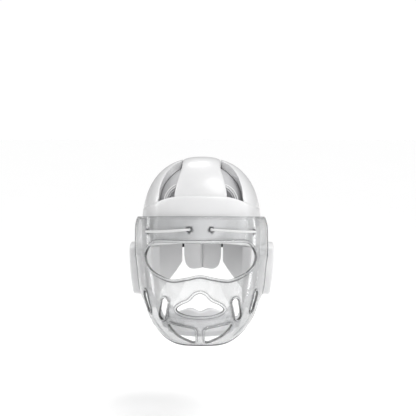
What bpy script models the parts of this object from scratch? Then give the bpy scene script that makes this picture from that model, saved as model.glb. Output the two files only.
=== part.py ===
"""Karate headgear: a white dipped-foam head guard with a clear face mask laced to it.

Metres, +Z up, the face looks along -Y. The origin is the crown of the head inside the liner.
"""
import math

import bmesh
import bpy
from mathutils import Matrix, Vector

# The head form that every foam piece follows
HEAD_BREADTH = 0.154
HEAD_LENGTH = 0.196
CROWN_HEIGHT = 0.092
FORM_POWER = 2.3

# Walls and clearances
GAP = 0.0003
LINER_WALL = 0.008
BAND_OUT = 0.022
PAD_OUT = 0.020
FLAP_TAPER = 0.010
MASK_WALL = 0.0025
PAD_BEVEL = 0.003
FLAP_BEVEL = 0.0035

# Levels, all down from the inner crown
BROW_DROP = 0.108
EAR_DROP = 0.119
BAND_TOP_DROP = 0.0356
BAND_TOP_FALL = 0.0244
NAPE_DROP = EAR_DROP + 0.0635
FLAP_DROP = EAR_DROP + 0.105

# Azimuths, in degrees from the front
BROW_BLEND = 47
BAND_RISE_FROM = 12
BAND_RISE_TO = 72
BAND_END_TOP = 72
BAND_END_LOW = 78
FLAP_FRONT = 48
FLAP_REAR = 158.7

# Crown strip
STRIP_HALF_FRONT = 0.0415
STRIP_HALF_CROWN = 0.031
STRIP_PITCH_FULL = 27
STRIP_PITCH_SLIM = 65

# Vents in the front recesses
VENT_SIDE = 0.038
VENT_DROP = 0.039
VENT_RING_R = 0.026
VENT_HOLE_R = 0.020
VENT_FLOOR = 0.003
GRILLE_WALL = 0.0025
GRILLE_HOLE_R = 0.0022
GRILLE_PITCH = 0.0072
GRILLE_RINGS = 2

# Ear guards and ear holes
GUARD_FACE_X = HEAD_BREADTH / 2 + 0.043
GUARD_LEAN = 0.007
GUARD_MID_Y = 0.0175
GUARD_HALF_LENGTH = 0.0325
GUARD_DROP = EAR_DROP + 0.0045
GUARD_HEIGHT = 0.088
GUARD_SQUARENESS = 0.5
GUARD_EDGE = 0.006
EAR_HOLE_DROP = EAR_DROP + 0.046
EAR_HOLE_HALF_WIDTH = 0.007
EAR_HOLE_HALF_HEIGHT = 0.013

# Nape pad and back strap
NAPE_HALF_WIDTH = 0.0345
NAPE_CORNER = 0.0225
NAPE_NOTCH = 0.0025
NAPE_GROOVE = 0.0025
BACK_STRAP_DROP = EAR_DROP + 0.0015
BACK_STRAP_WIDTH = 0.025
BACK_STRAP_WALL = 0.002
BACK_STRAP_REACH = 35

# Face mask
MASK_TOP_DROP = 0.066
MASK_HEIGHT = 0.205
MASK_HALF_WIDTH = HEAD_BREADTH / 2 + 0.0313
MASK_REAR = 0.020
MASK_TUCK = 0.081
MASK_BULGE = 0.029
MASK_POWER = 2.2

# Mask openings
EYE_HALF_WIDTH = 0.0865
EYE_TOP_DROP = BROW_DROP - 0.0005
EYE_HEIGHT = 0.0547
BELL_HALF_WIDTH = 0.036
BELL_TOP_DROP = 0.1815
BELL_HEIGHT = 0.0338
CHIN_OPENING_SIDE = 0.0076
CHIN_OPENING_WIDTH = 0.0404
CHIN_OPENING_DROP = 0.230
CHIN_OPENING_HEIGHT = 0.031
OPENING_Y = -HEAD_LENGTH / 2 - 0.032
EYE_REACH = 0.070
MOUTH_REACH = 0.040
SLOT_REACH = 0.020
SLOT_HALF_WIDTH = 0.0066
SLOT_LENGTH = 0.034
SLOT_LEAN = 0.0055
NEAR_SLOT_X = 0.0567
NEAR_SLOT_DROP = 0.208
NEAR_SLOT_AZIMUTH = 27
FAR_SLOT_X = 0.084
FAR_SLOT_DROP = 0.203
FAR_SLOT_AZIMUTH = 47

# Lacing
CORD_R = 0.0015
LACE_HOLE_R = 0.0024
LACE_INNER_X = 0.0172
LACE_INNER_DROP = 0.0863
LACE_OUTER_X = 0.0843
LACE_OUTER_DROP = 0.0932
BORE_DEPTH = 0.009

# Side studs
STUD_Y = -0.027
STUD_DROP = EAR_DROP + 0.018
STUD_SHANK_R = 0.003
STUD_SHOULDER_R = 0.0042
STUD_FLANGE_R = 0.0055
STUD_FLANGE_WALL = 0.0016
STUD_SLACK = 0.0013

# Chin cup and strap
CUP_FRONT = HEAD_LENGTH / 2 + 0.028
CUP_HALF_WIDTH = 0.058
CUP_DEPTH = 0.060
CUP_SPREAD = 68
CUP_WALL = 0.011
CUP_TOP_DROP = 0.2086
CUP_LOW_DROP = 0.258
CUP_TUCK = 0.020
STRAP_WIDTH = 0.018
STRAP_WALL = 0.002
STRAP_FRONT_DROP = CUP_LOW_DROP - 0.022
STRAP_END_DROP = FLAP_DROP - 0.025
STRAP_END_AZIMUTH = 68

# Share across the opening's half width, share of its height down from the top
EYE_OUTLINE = (
    (0.00, 0.00), (0.44, 0.00), (0.807, 0.024), (0.931, 0.165), (1.00, 0.411), (0.968, 0.649),
    (0.873, 0.804), (0.744, 0.901), (0.505, 0.996), (0.24, 0.929), (0.00, 0.859),
)
BELL_OUTLINE = (
    (0.00, 0.00), (0.20, 0.07), (0.36, 0.24), (0.50, 0.36), (0.78, 0.50), (0.94, 0.62),
    (1.00, 0.72), (0.93, 0.82), (0.75, 0.90), (0.45, 0.97), (0.00, 1.00),
)
CHIN_OUTLINE = (
    (0.00, 0.34), (0.02, 0.24), (0.12, 0.17), (0.40, 0.10), (0.72, 0.03), (0.92, 0.00),
    (1.00, 0.04), (0.96, 0.16), (0.82, 0.38), (0.56, 0.68), (0.24, 0.90), (0.10, 0.985),
    (0.03, 0.985), (0.00, 0.90), (0.00, 0.60),
)

# Mask sections: centre drop, lead over the band, half width, rear tuck, rear drop, side reach
MASK_SECTIONS = (
    (0.000, -0.05, 0.960, 0.10, 0.049, 0.86),
    (0.088, 0.01, 0.988, 0.06, 0.127, 0.97),
    (0.185, 0.14, 0.997, 0.025, 0.215, 1.00),
    (0.341, 0.33, 1.000, 0.00, 0.346, 1.00),
    (0.420, 0.48, 0.979, 0.00, 0.434, 1.00),
    (0.517, 0.69, 0.960, 0.00, 0.541, 1.00),
    (0.615, 0.90, 0.933, 0.00, 0.649, 1.00),
    (0.712, 1.00, 0.863, 0.10, 0.727, 1.00),
    (0.800, 0.93, 0.776, 0.27, 0.832, 1.00),
    (0.878, 0.72, 0.693, 0.44, 0.885, 1.00),
    (0.937, 0.34, 0.560, 0.67, 0.941, 0.96),
    (0.976, -0.10, 0.425, 0.86, 0.976, 0.88),
    (1.000, -0.62, 0.290, 1.00, 0.994, 0.78),
)

# Recess edge on each side pad: azimuth, drop from the inner crown as a share of BAND_TOP_DROP
RECESS_EDGE = (
    (39.5, 1.12), (42.8, 0.744), (45.5, 0.393), (49.7, 0.014), (54.0, -0.17), (58.2, -0.292),
)

# Flap lower edge: azimuth, share of the flap's height
FLAP_EDGE = (
    (48, 0.91), (54, 0.975), (62, 1.0), (75, 1.0), (100, 0.98), (120, 0.90), (138, 0.78),
    (150, 0.64), (158.7, 0.47),
)

# Cup top edge: share of the half spread, share of the cup's height down from its top
CUP_EDGE = ((0.0, 0.117), (0.25, 0.0), (0.45, 0.08), (0.72, 0.17), (1.0, 0.03))

BODY_COLOUR = (0.86, 0.86, 0.87, 1)
WEB_COLOUR = (0.82, 0.82, 0.83, 1)
BLACK = (0.02, 0.02, 0.022, 1)
CLEAR = (0.92, 0.94, 0.95, 0.3)

for old in list(bpy.data.objects):
    bpy.data.objects.remove(old, do_unlink=True)


def new_collection(name):
    collection = bpy.data.collections.new(name)
    bpy.context.scene.collection.children.link(collection)
    return collection


PARTS = new_collection("karate_headgear")
CUTTERS = new_collection("cutters")


def material(name, colour, roughness, metallic=0.0):
    made = bpy.data.materials.new(name)
    made.use_nodes = True
    shader = made.node_tree.nodes["Principled BSDF"]
    shader.inputs["Base Color"].default_value = colour
    shader.inputs["Roughness"].default_value = roughness
    shader.inputs["Metallic"].default_value = metallic
    return made


def face_outwards(bm):
    bmesh.ops.recalc_face_normals(bm, faces=bm.faces)
    if bm.calc_volume(signed=True) < 0:
        bmesh.ops.reverse_faces(bm, faces=bm.faces)


def add_object(name, bm, colour=BODY_COLOUR, roughness=0.4):
    face_outwards(bm)
    mesh = bpy.data.meshes.new(name)
    bm.to_mesh(mesh)
    bm.free()
    made = bpy.data.objects.new(name, mesh)
    PARTS.objects.link(made)
    mesh.materials.append(material(name, colour, roughness))
    mesh.shade_smooth()
    mesh.set_sharp_from_angle(angle=math.radians(35))
    return made


def add_cutter(name, bm):
    face_outwards(bm)
    mesh = bpy.data.meshes.new(name)
    bm.to_mesh(mesh)
    bm.free()
    made = bpy.data.objects.new(name, mesh)
    CUTTERS.objects.link(made)
    made.hide_render = True
    made.display_type = "WIRE"
    return made


def bevel(piece, width, segments=1):
    modifier = piece.modifiers.new("edge", "BEVEL")
    modifier.width = width
    modifier.segments = segments
    modifier.limit_method = "ANGLE"
    modifier.angle_limit = math.radians(50)


def cut(piece, cutter):
    modifier = piece.modifiers.new(cutter.name, "BOOLEAN")
    modifier.operation = "DIFFERENCE"
    modifier.solver = "EXACT"
    modifier.object = cutter


def smooth_step(value):
    share = min(max(value, 0.0), 1.0)
    return share * share * (3 - 2 * share)


def read_table(table, key):
    """Straight-line reading of a two-column table."""
    if key <= table[0][0]:
        return table[0][1]
    for low, high in zip(table, table[1:]):
        if key <= high[0]:
            share = (key - low[0]) / (high[0] - low[0])
            return low[1] + (high[1] - low[1]) * share
    return table[-1][1]


def catmull(p0, p1, p2, p3, t):
    return 0.5 * (2 * p1 + (p2 - p0) * t + (2 * p0 - 5 * p1 + 4 * p2 - p3) * t * t
                  + (3 * p1 - p0 - 3 * p2 + p3) * t ** 3)


def form_axes(out):
    return HEAD_BREADTH / 2 + out, HEAD_LENGTH / 2 + out, CROWN_HEIGHT + out


def form_point(azimuth, rise, out):
    """Point `out` outside the head form; below the widest level the wall drops straight."""
    a, b, c = form_axes(out)
    level = max(rise, 0.0)
    direction = Vector((
        math.sin(azimuth) * math.cos(level),
        -math.cos(azimuth) * math.cos(level),
        math.sin(level)))
    total = sum((abs(part) / axis) ** FORM_POWER for part, axis in zip(direction, (a, b, c)))
    point = direction * total ** (-1 / FORM_POWER)
    point.z += min(rise, 0.0) * CROWN_HEIGHT - CROWN_HEIGHT
    return point


def rise_at(azimuth, z, out):
    """The rise at which the form reaches height z."""
    height = z + CROWN_HEIGHT
    if height <= 0:
        return height / CROWN_HEIGHT
    a, b, c = form_axes(out)
    plan = (1 - (height / c) ** FORM_POWER) ** (1 / FORM_POWER)
    across = (abs(math.sin(azimuth)) / a) ** FORM_POWER
    along = (abs(math.cos(azimuth)) / b) ** FORM_POWER
    return math.atan2(height, plan * (across + along) ** (-1 / FORM_POWER))


def wall_point(azimuth, z, out):
    return form_point(azimuth, rise_at(azimuth, z, out), out)


def strip_point(x, pitch, out):
    """Point on the form over the crown: pitch 0 is the front, 90 degrees the top."""
    a, b, c = form_axes(out)
    level = min(pitch, math.pi)
    radius = (1 - (abs(x) / a) ** FORM_POWER) ** (1 / FORM_POWER)
    along = (abs(math.cos(level)) / b) ** FORM_POWER
    up = (abs(math.sin(level)) / c) ** FORM_POWER
    radius *= (along + up) ** (-1 / FORM_POWER)
    drop = max(pitch - math.pi, 0.0) * CROWN_HEIGHT
    return Vector((x, -radius * math.cos(level), radius * math.sin(level) - drop - CROWN_HEIGHT))


def strip_half(pitch):
    share = (math.radians(STRIP_PITCH_SLIM) - pitch) / math.radians(STRIP_PITCH_SLIM - STRIP_PITCH_FULL)
    return STRIP_HALF_CROWN + (STRIP_HALF_FRONT - STRIP_HALF_CROWN) * smooth_step(share)


def sagitta(step, ways=1):
    """How far a flat facet spanning `step` radians, in one or two ways, falls inside the form."""
    return ways * (1 - math.cos(step / 2)) * (HEAD_LENGTH / 2 + BAND_OUT) * 1.6


def seat(step, ways=1):
    """Inner face of a piece that lies on the liner, clear of the liner's corners."""
    return LINER_WALL + GAP + sagitta(step, ways)


def band_top(azimuth):
    share = (math.degrees(abs(azimuth)) - BAND_RISE_FROM) / (BAND_RISE_TO - BAND_RISE_FROM)
    return -BAND_TOP_DROP - BAND_TOP_FALL * smooth_step(share)


def lower_edge(azimuth):
    share = min(math.degrees(abs(azimuth)) / BROW_BLEND, 1.0)
    return -BROW_DROP - (EAR_DROP - BROW_DROP) * share * share


def block(columns, rows, place):
    """A closed slab: a grid with thickness whose points go where place(u, v, layer) says."""
    bm = bmesh.new()
    shift = Matrix.Translation((0.5, 0.5, 0))
    bmesh.ops.create_grid(bm, x_segments=columns, y_segments=rows, size=0.5, matrix=shift)
    grown = bmesh.ops.extrude_face_region(bm, geom=list(bm.faces))
    fresh = [item for item in grown["geom"] if isinstance(item, bmesh.types.BMVert)]
    bmesh.ops.translate(bm, vec=(0, 0, 1), verts=fresh)
    for vertex in bm.verts:
        vertex.co = place(vertex.co.x, vertex.co.y, vertex.co.z)
    return bm


def blend(low, high, share):
    return low + (high - low) * share


def rod(name, radius, length, at, axis, sides=12):
    bm = bmesh.new()
    bmesh.ops.create_cone(bm, cap_ends=True, segments=sides, radius1=radius, radius2=radius, depth=length)
    turn = axis.to_track_quat("Z", "Y").to_matrix().to_4x4()
    bmesh.ops.transform(bm, matrix=Matrix.Translation(at) @ turn, verts=bm.verts)
    return add_cutter(name, bm)


def prism(name, outline, at, azimuth, reach):
    """A flat outline pushed through the mask along the given azimuth, both ways from `at`."""
    bm = bmesh.new()
    side = Vector((math.cos(azimuth), math.sin(azimuth), 0))
    push = Vector((math.sin(azimuth), -math.cos(azimuth), 0))
    ring = [bm.verts.new(at + side * u + Vector((0, 0, w)) - push * reach) for u, w in outline]
    face = bm.faces.new(ring)
    grown = bmesh.ops.extrude_face_region(bm, geom=[face])
    fresh = [item for item in grown["geom"] if isinstance(item, bmesh.types.BMVert)]
    bmesh.ops.translate(bm, vec=push * 2 * reach, verts=fresh)
    return add_cutter(name, bm)


def smooth_loop(points, steps):
    """Closed curve through the points, as `steps` short runs between each two."""
    count = len(points)
    made = []
    for index in range(count):
        near = [Vector(points[(index + shift) % count]) for shift in (-1, 0, 1, 2)]
        made += [catmull(*near, step / steps) for step in range(steps)]
    return made


def mirrored(half):
    """Full outline from its right half, clockwise from the top."""
    return list(half) + [(-x, z) for x, z in reversed(half[1:-1])]


def head_liner():
    bm = bmesh.new()
    columns = 24
    rows = 18
    bmesh.ops.create_uvsphere(bm, u_segments=columns, v_segments=rows, radius=1)
    row = math.pi / rows
    low = [vertex for vertex in bm.verts if math.asin(max(min(vertex.co.z, 1), -1)) < -2.5 * row]
    bmesh.ops.delete(bm, geom=low, context="VERTS")
    inner = list(bm.verts)
    grown = bmesh.ops.extrude_face_region(bm, geom=list(bm.faces))
    outer = [item for item in grown["geom"] if isinstance(item, bmesh.types.BMVert)]
    for group, out in ((inner, 0.0), (outer, LINER_WALL)):
        for vertex in group:
            azimuth = math.atan2(vertex.co.x, -vertex.co.y)
            rise = math.asin(max(min(vertex.co.z, 1), -1))
            if rise < 0:
                rise *= rise_at(azimuth, lower_edge(azimuth), out) / (-2 * row)
            vertex.co = form_point(azimuth, rise, out)
    liner = add_object("head_liner", bm)
    for side, tag in ((-1, "left"), (1, "right")):
        centre, normal = vent_place(side)
        step = rod("vent_step_" + tag, VENT_RING_R, LINER_WALL * 4,
                   centre + normal * (VENT_FLOOR + LINER_WALL * 2), normal, 28)
        hole = rod("vent_hole_" + tag, VENT_HOLE_R, LINER_WALL * 4, centre, normal, 28)
        cut(liner, step)
        cut(liner, hole)


def vent_place(side):
    """Centre of the vent on the head form and the way it faces."""
    a, b, c = form_axes(LINER_WALL)
    up = CROWN_HEIGHT - VENT_DROP
    rest = 1 - (VENT_SIDE / a) ** FORM_POWER - (up / c) ** FORM_POWER
    front = b * rest ** (1 / FORM_POWER)
    power = FORM_POWER - 1
    normal = Vector((
        side * (VENT_SIDE / a) ** power / a,
        -(front / b) ** power / b,
        (up / c) ** power / c)).normalized()
    surface = Vector((side * VENT_SIDE, -front, -VENT_DROP))
    return surface - normal * LINER_WALL, normal


def vent_grille(side, tag):
    centre, normal = vent_place(side)
    bm = bmesh.new()
    bmesh.ops.create_cone(bm, cap_ends=True, segments=28, radius1=VENT_HOLE_R - GAP,
                          radius2=VENT_HOLE_R - GAP, depth=GRILLE_WALL)
    turn = normal.to_track_quat("Z", "Y").to_matrix().to_4x4()
    place = Matrix.Translation(centre + normal * GRILLE_WALL / 2) @ turn
    bmesh.ops.transform(bm, matrix=place, verts=bm.verts)
    grille = add_object("vent_grille_" + tag, bm, WEB_COLOUR, 0.5)
    holes = bmesh.new()
    for ring_u in range(-GRILLE_RINGS, GRILLE_RINGS + 1):
        for ring_v in range(-GRILLE_RINGS, GRILLE_RINGS + 1):
            if abs(ring_u + ring_v) > GRILLE_RINGS:
                continue
            spot = Vector((ring_u + ring_v / 2, ring_v * math.sqrt(3) / 2, 0)) * GRILLE_PITCH
            bmesh.ops.create_cone(holes, cap_ends=True, segments=6, radius1=GRILLE_HOLE_R,
                                  radius2=GRILLE_HOLE_R, depth=GRILLE_WALL * 3,
                                  matrix=place @ Matrix.Translation(spot))
    cut(grille, add_cutter("grille_holes_" + tag, holes))


def forehead_band():
    columns = 18

    def place(u, v, layer):
        end = math.radians(blend(BAND_END_LOW, BAND_END_TOP, v))
        azimuth = (2 * u - 1) * end
        z = blend(lower_edge(azimuth), band_top(azimuth), v)
        inner = seat(2 * math.radians(BAND_END_LOW) / columns)
        return wall_point(azimuth, z, blend(inner, BAND_OUT, layer))

    band = add_object("forehead_band", block(columns, 4, place))
    bevel(band, PAD_BEVEL)
    for side, tag in ((-1, "left"), (1, "right")):
        for name, spot in (("inner", lace_spots(side)[0]), ("outer", lace_spots(side)[1])):
            point, normal = spot
            face = band_face(point, normal)
            bore = rod("lace_bore_%s_%s" % (name, tag), CORD_R + GAP, 2 * BORE_DEPTH,
                       face, normal, 8)
            cut(band, bore)


def strip_front(x, out):
    """Pitch at which the strip, at this x, meets the top of the forehead band."""
    a, b, c = form_axes(out)
    up = CROWN_HEIGHT + band_top(math.atan2(x, b)) + 2 * GAP
    rest = 1 - (abs(x) / a) ** FORM_POWER - (up / c) ** FORM_POWER
    return math.atan2(up, b * rest ** (1 / FORM_POWER))


def crown_strip():
    back = math.pi + (EAR_DROP - CROWN_HEIGHT) / CROWN_HEIGHT
    rows = 18

    def place(u, v, layer):
        out = blend(seat(back / rows), PAD_OUT, layer)
        front = strip_front((2 * u - 1) * STRIP_HALF_FRONT, out)
        pitch = blend(front, back, v)
        return strip_point((2 * u - 1) * strip_half(pitch), pitch, out)

    bevel(add_object("crown_strip", block(5, rows, place)), PAD_BEVEL)


def strip_edge_rise(azimuth, out):
    """Rise at which the form, at this azimuth, meets the side of the crown strip."""
    low = 0.0
    high = math.pi / 2
    for _ in range(30):
        middle = (low + high) / 2
        point = form_point(azimuth, middle, out)
        pitch = math.atan2(point.z + CROWN_HEIGHT, -point.y)
        if abs(point.x) > strip_half(pitch) + 2 * GAP:
            low = middle
        else:
            high = middle
    return low


def strip_edge_azimuth(rise, out):
    """Azimuth, behind the head, at which the form meets the side of the crown strip."""
    low = math.pi / 2
    high = math.pi
    for _ in range(30):
        middle = (low + high) / 2
        if form_point(middle, rise, out).x > STRIP_HALF_CROWN + 2 * GAP:
            low = middle
        else:
            high = middle
    return low


def side_pad(side, tag):
    front = [math.radians(azimuth) for azimuth, _ in RECESS_EDGE]
    over = 9
    rows = 9
    end_gap = 0.8
    corner = math.radians(150)
    total = len(front) + over + 1

    def low_z(azimuth):
        share = (math.degrees(azimuth) - BAND_END_TOP - end_gap) / (BAND_END_LOW - BAND_END_TOP)
        share = min(max(share, 0.0), 1.0)
        return blend(band_top(azimuth) + 3 * GAP, lower_edge(azimuth), share)

    def place(u, v, layer):
        column = round(u * total) - len(front)
        rear = strip_edge_azimuth(-0.1, PAD_OUT)
        ends = [math.radians(degrees + end_gap) for degrees in (BAND_END_TOP - 12, BAND_END_TOP, BAND_END_LOW)]
        step = max((rear - ends[2]) / (over - 1), math.radians(100) / rows)
        out = blend(seat(step, 2), PAD_OUT, layer)
        if column < 0:
            azimuth = front[column]
            drop = RECESS_EDGE[column][1] * BAND_TOP_DROP
            low = rise_at(azimuth, low_z(azimuth), out)
            high = rise_at(azimuth, -drop, PAD_OUT)
            point = form_point(azimuth, blend(low, high, v), out)
        else:
            rear = strip_edge_azimuth(-0.1, out)
            base = ends[column] if column < 3 else blend(ends[2], rear, (column - 2) / (over - 1))
            crest = blend(ends[0], corner, column / (over + 1))
            low = rise_at(base, low_z(base), out)
            high = strip_edge_rise(crest, out)
            rise = blend(low, high, v)
            azimuth = blend(base, crest, v)
            if column == over + 1:
                azimuth = strip_edge_azimuth(rise, out)
            point = form_point(azimuth, rise, out)
        return Vector((side * point.x, point.y, point.z))

    bevel(add_object("side_pad_" + tag, block(total, rows, place)), PAD_BEVEL)


def flap_out(azimuth, z):
    """The flap thins towards its lower edge."""
    share = (-z - EAR_DROP) / (FLAP_DROP - EAR_DROP)
    return PAD_OUT - FLAP_TAPER * smooth_step(share)


def ear_flap(side, tag):
    columns = 13

    def place(u, v, layer):
        degrees = blend(FLAP_FRONT, FLAP_REAR, u)
        azimuth = math.radians(degrees)
        top = lower_edge(azimuth) - 2 * GAP
        bottom = -EAR_DROP - read_table(FLAP_EDGE, degrees) * (FLAP_DROP - EAR_DROP)
        z = blend(bottom, top, v)
        point = wall_point(azimuth, z, layer * flap_out(azimuth, z))
        return Vector((side * point.x, point.y, point.z))

    flap = add_object("ear_flap_" + tag, block(columns, 6, place))
    bevel(flap, FLAP_BEVEL)
    cut(flap, ear_hole("flap_ear_hole_" + tag, side))


def ear_hole(name, side):
    outline = []
    straight = EAR_HOLE_HALF_HEIGHT - EAR_HOLE_HALF_WIDTH
    for index in range(12):
        turn = math.radians(30 * index + 15)
        lift = straight if math.sin(turn) > 0 else -straight
        outline.append((EAR_HOLE_HALF_WIDTH * math.cos(turn), EAR_HOLE_HALF_WIDTH * math.sin(turn) + lift))
    at = Vector((side * HEAD_BREADTH / 2, GUARD_MID_Y, -EAR_HOLE_DROP))
    return prism(name, outline, at, side * math.pi / 2, 3 * PAD_OUT)


def ear_guard(side, tag):
    cells = 6
    step = GUARD_HALF_LENGTH * 2 / cells / (HEAD_BREADTH / 2)

    def place(u, v, layer):
        across = 2 * u - 1
        up = 2 * v - 1
        y = GUARD_MID_Y + GUARD_HALF_LENGTH * across * math.sqrt(1 - GUARD_SQUARENESS * up * up / 2)
        share = (1 - up * math.sqrt(1 - GUARD_SQUARENESS * across * across / 2)) / 2
        z = -GUARD_DROP - GUARD_HEIGHT * share
        out = flap_out(math.pi / 2, z) + GAP + sagitta(step)
        a, b, _ = form_axes(out)
        seat_x = a * (1 - (abs(y) / b) ** FORM_POWER) ** (1 / FORM_POWER)
        x = blend(seat_x, GUARD_FACE_X - GUARD_LEAN * share * share, layer)
        return Vector((side * x, y, z))

    guard = add_object("ear_guard_" + tag, block(cells, cells, place))
    bevel(guard, GUARD_EDGE, 2)
    cut(guard, ear_hole("guard_ear_hole_" + tag, side))


def nape_pad():
    half = (0.045, 0.25, 0.5, 0.75, 0.92, 1)
    marks = [-mark for mark in reversed(half)] + [0.0] + list(half)

    def place(u, v, layer):
        mark = marks[round(u * (len(marks) - 1))]
        lobe = 2 * abs(mark) - 1
        rise = NAPE_CORNER * (1 - math.sqrt(1 - lobe * lobe)) if lobe > 0 else NAPE_NOTCH * lobe * lobe
        top = -EAR_DROP - 2 * GAP
        z = blend(-NAPE_DROP + rise, top, v)
        groove = NAPE_GROOVE if mark == 0 else 0.0
        out = blend(groove, PAD_OUT - groove, layer)
        _, b, _ = form_axes(out)
        spread = mark * (NAPE_HALF_WIDTH + layer * GAP)
        azimuth = math.pi - math.atan2(spread, b)
        return wall_point(azimuth, z, out)

    bevel(add_object("nape_pad", block(len(marks) - 1, 5, place)), PAD_BEVEL)


def back_strap():
    columns = 14
    reach = math.radians(BACK_STRAP_REACH)

    def place(u, v, layer):
        azimuth = math.pi + (2 * u - 1) * reach
        z = -BACK_STRAP_DROP - BACK_STRAP_WIDTH * (1 - v)
        inner = PAD_OUT + GAP + sagitta(2 * reach / columns)
        return wall_point(azimuth, z, inner + layer * BACK_STRAP_WALL)

    add_object("back_strap", block(columns, 1, place), BLACK, 0.85)


def mask_section(row):
    index = min(int(row), len(MASK_SECTIONS) - 2)
    near = [MASK_SECTIONS[min(max(index + shift, 0), len(MASK_SECTIONS) - 1)] for shift in (-1, 0, 1, 2)]
    return [catmull(*values, row - index) for values in zip(*near)]


def mask_point(turn, row):
    """Outer face of the mask: turn -1 to 1 from rear edge to rear edge, row down the table."""
    drop, lead, half, tuck, rear_drop, reach = mask_section(row)
    front = HEAD_LENGTH / 2 + BAND_OUT + GAP + MASK_WALL + lead * MASK_BULGE
    rear = MASK_REAR + tuck * MASK_TUCK
    angle = turn * min(reach, 1.0) * math.pi / 2
    power = 2 / MASK_POWER
    across = math.copysign(abs(math.sin(angle)) ** power, angle)
    along = abs(math.cos(angle)) ** power
    return Vector((
        across * half * MASK_HALF_WIDTH,
        -blend(rear, front, along),
        -MASK_TOP_DROP - blend(rear_drop, drop, along) * MASK_HEIGHT))


def mask_normal(turn, row):
    step = 0.002
    last = len(MASK_SECTIONS) - 1
    across = mask_point(min(turn + step, 1), row) - mask_point(max(turn - step, -1), row)
    down = mask_point(turn, min(row + step, last)) - mask_point(turn, max(row - step, 0))
    return down.cross(across).normalized()


def mask_at(x, z):
    """Point and normal of the mask's outer face at the given x and z."""
    turn = 0.6 * x / MASK_HALF_WIDTH
    row = (-z - MASK_TOP_DROP) / MASK_HEIGHT * (len(MASK_SECTIONS) - 1)
    for _ in range(40):
        point = mask_point(turn, row)
        turn = min(max(turn + (x - point.x) * 3, -0.98), 0.98)
        row = min(max(row - (z - point.z) * 30, 0), len(MASK_SECTIONS) - 1)
    return mask_point(turn, row), mask_normal(turn, row)


def lace_spots(side):
    """Mask face and outward direction at the inner and the outer lacing hole."""
    inner = mask_at(side * LACE_INNER_X, -LACE_INNER_DROP)
    outer = mask_at(side * LACE_OUTER_X, -LACE_OUTER_DROP)
    return [(point, Vector((normal.x, normal.y, 0)).normalized()) for point, normal in (inner, outer)]


def band_face(point, normal):
    """Where the line from a lacing hole, against its direction, meets the band."""
    low = 0.0
    high = 2 * BAND_OUT
    for _ in range(30):
        middle = (low + high) / 2
        spot = point - normal * middle
        azimuth = math.atan2(spot.x, -spot.y)
        face = wall_point(azimuth, spot.z, BAND_OUT)
        if spot.xy.length > face.xy.length:
            low = middle
        else:
            high = middle
    return point - normal * low


def stadium(half_width, length, lean):
    """Slot outline, clockwise from the top left, its lower end moved sideways by lean."""
    outline = []
    straight = length / 2 - half_width
    for index in range(14):
        turn = math.radians(180 - index * 180 / 6.5)
        lift = straight if index < 7 else -straight
        shift = -lean / 2 if index < 7 else lean / 2
        outline.append(Vector((half_width * math.cos(turn) + shift, half_width * math.sin(turn) + lift)))
    return outline


def mask_openings(mask):
    eye = [(x * EYE_HALF_WIDTH, -z * EYE_HEIGHT) for x, z in EYE_OUTLINE]
    eye = smooth_loop(mirrored(eye), 2)
    middle = Vector((0, OPENING_Y, 0))
    cut(mask, prism("eye_opening", eye, middle + Vector((0, 0, -EYE_TOP_DROP)), 0, EYE_REACH))
    bell = [(x * BELL_HALF_WIDTH, -z * BELL_HEIGHT) for x, z in BELL_OUTLINE]
    bell = smooth_loop(mirrored(bell), 2)
    cut(mask, prism("bell_opening", bell, middle + Vector((0, 0, -BELL_TOP_DROP)), 0, MOUTH_REACH))
    for side, tag in ((-1, "left"), (1, "right")):
        chin = [(CHIN_OPENING_SIDE + x * CHIN_OPENING_WIDTH, -z * CHIN_OPENING_HEIGHT) for x, z in CHIN_OUTLINE]
        chin = [(side * x, z) for x, z in smooth_loop(chin, 2)]
        at = middle + Vector((0, 0, -CHIN_OPENING_DROP))
        cut(mask, prism("chin_opening_" + tag, chin, at, 0, MOUTH_REACH))
        for name, x, drop, degrees, lean in (
                ("near_slot_", NEAR_SLOT_X, NEAR_SLOT_DROP, NEAR_SLOT_AZIMUTH, SLOT_LEAN),
                ("far_slot_", FAR_SLOT_X, FAR_SLOT_DROP, FAR_SLOT_AZIMUTH, -SLOT_LEAN)):
            slot = stadium(SLOT_HALF_WIDTH, SLOT_LENGTH, side * lean)
            at, _ = mask_at(side * x, -drop)
            cut(mask, prism(name + tag, slot, at, side * math.radians(degrees), SLOT_REACH))
        for name, spot in zip(("inner", "outer"), lace_spots(side)):
            hole = rod("lace_hole_%s_%s" % (name, tag), LACE_HOLE_R, 4 * MASK_WALL, spot[0], spot[1], 10)
            cut(mask, hole)
        at = Vector((side * stud_mask_x(), STUD_Y, -STUD_DROP))
        cut(mask, rod("stud_hole_" + tag, STUD_SHANK_R + GAP, 6 * MASK_WALL, at, Vector((1, 0, 0)), 12))


def face_mask():
    columns = 22
    rows = 13
    last = len(MASK_SECTIONS) - 1

    def place(u, v, layer):
        turn = 2 * u - 1
        row = (1 - v) * last
        return mask_point(turn, row) - mask_normal(turn, row) * MASK_WALL * (1 - layer)

    mask = add_object("face_mask", block(columns, rows, place), CLEAR, 0.08)
    mask_openings(mask)


def stud_mask_x():
    """Outer face of the mask at the stud."""
    low = 0.5
    high = 1.0
    row = (STUD_DROP - MASK_TOP_DROP) / MASK_HEIGHT / MASK_SECTIONS[3][0] * 3
    for _ in range(30):
        middle = (low + high) / 2
        if mask_point(middle, row).y < STUD_Y:
            low = middle
        else:
            high = middle
    return mask_point(low, row).x


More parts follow.
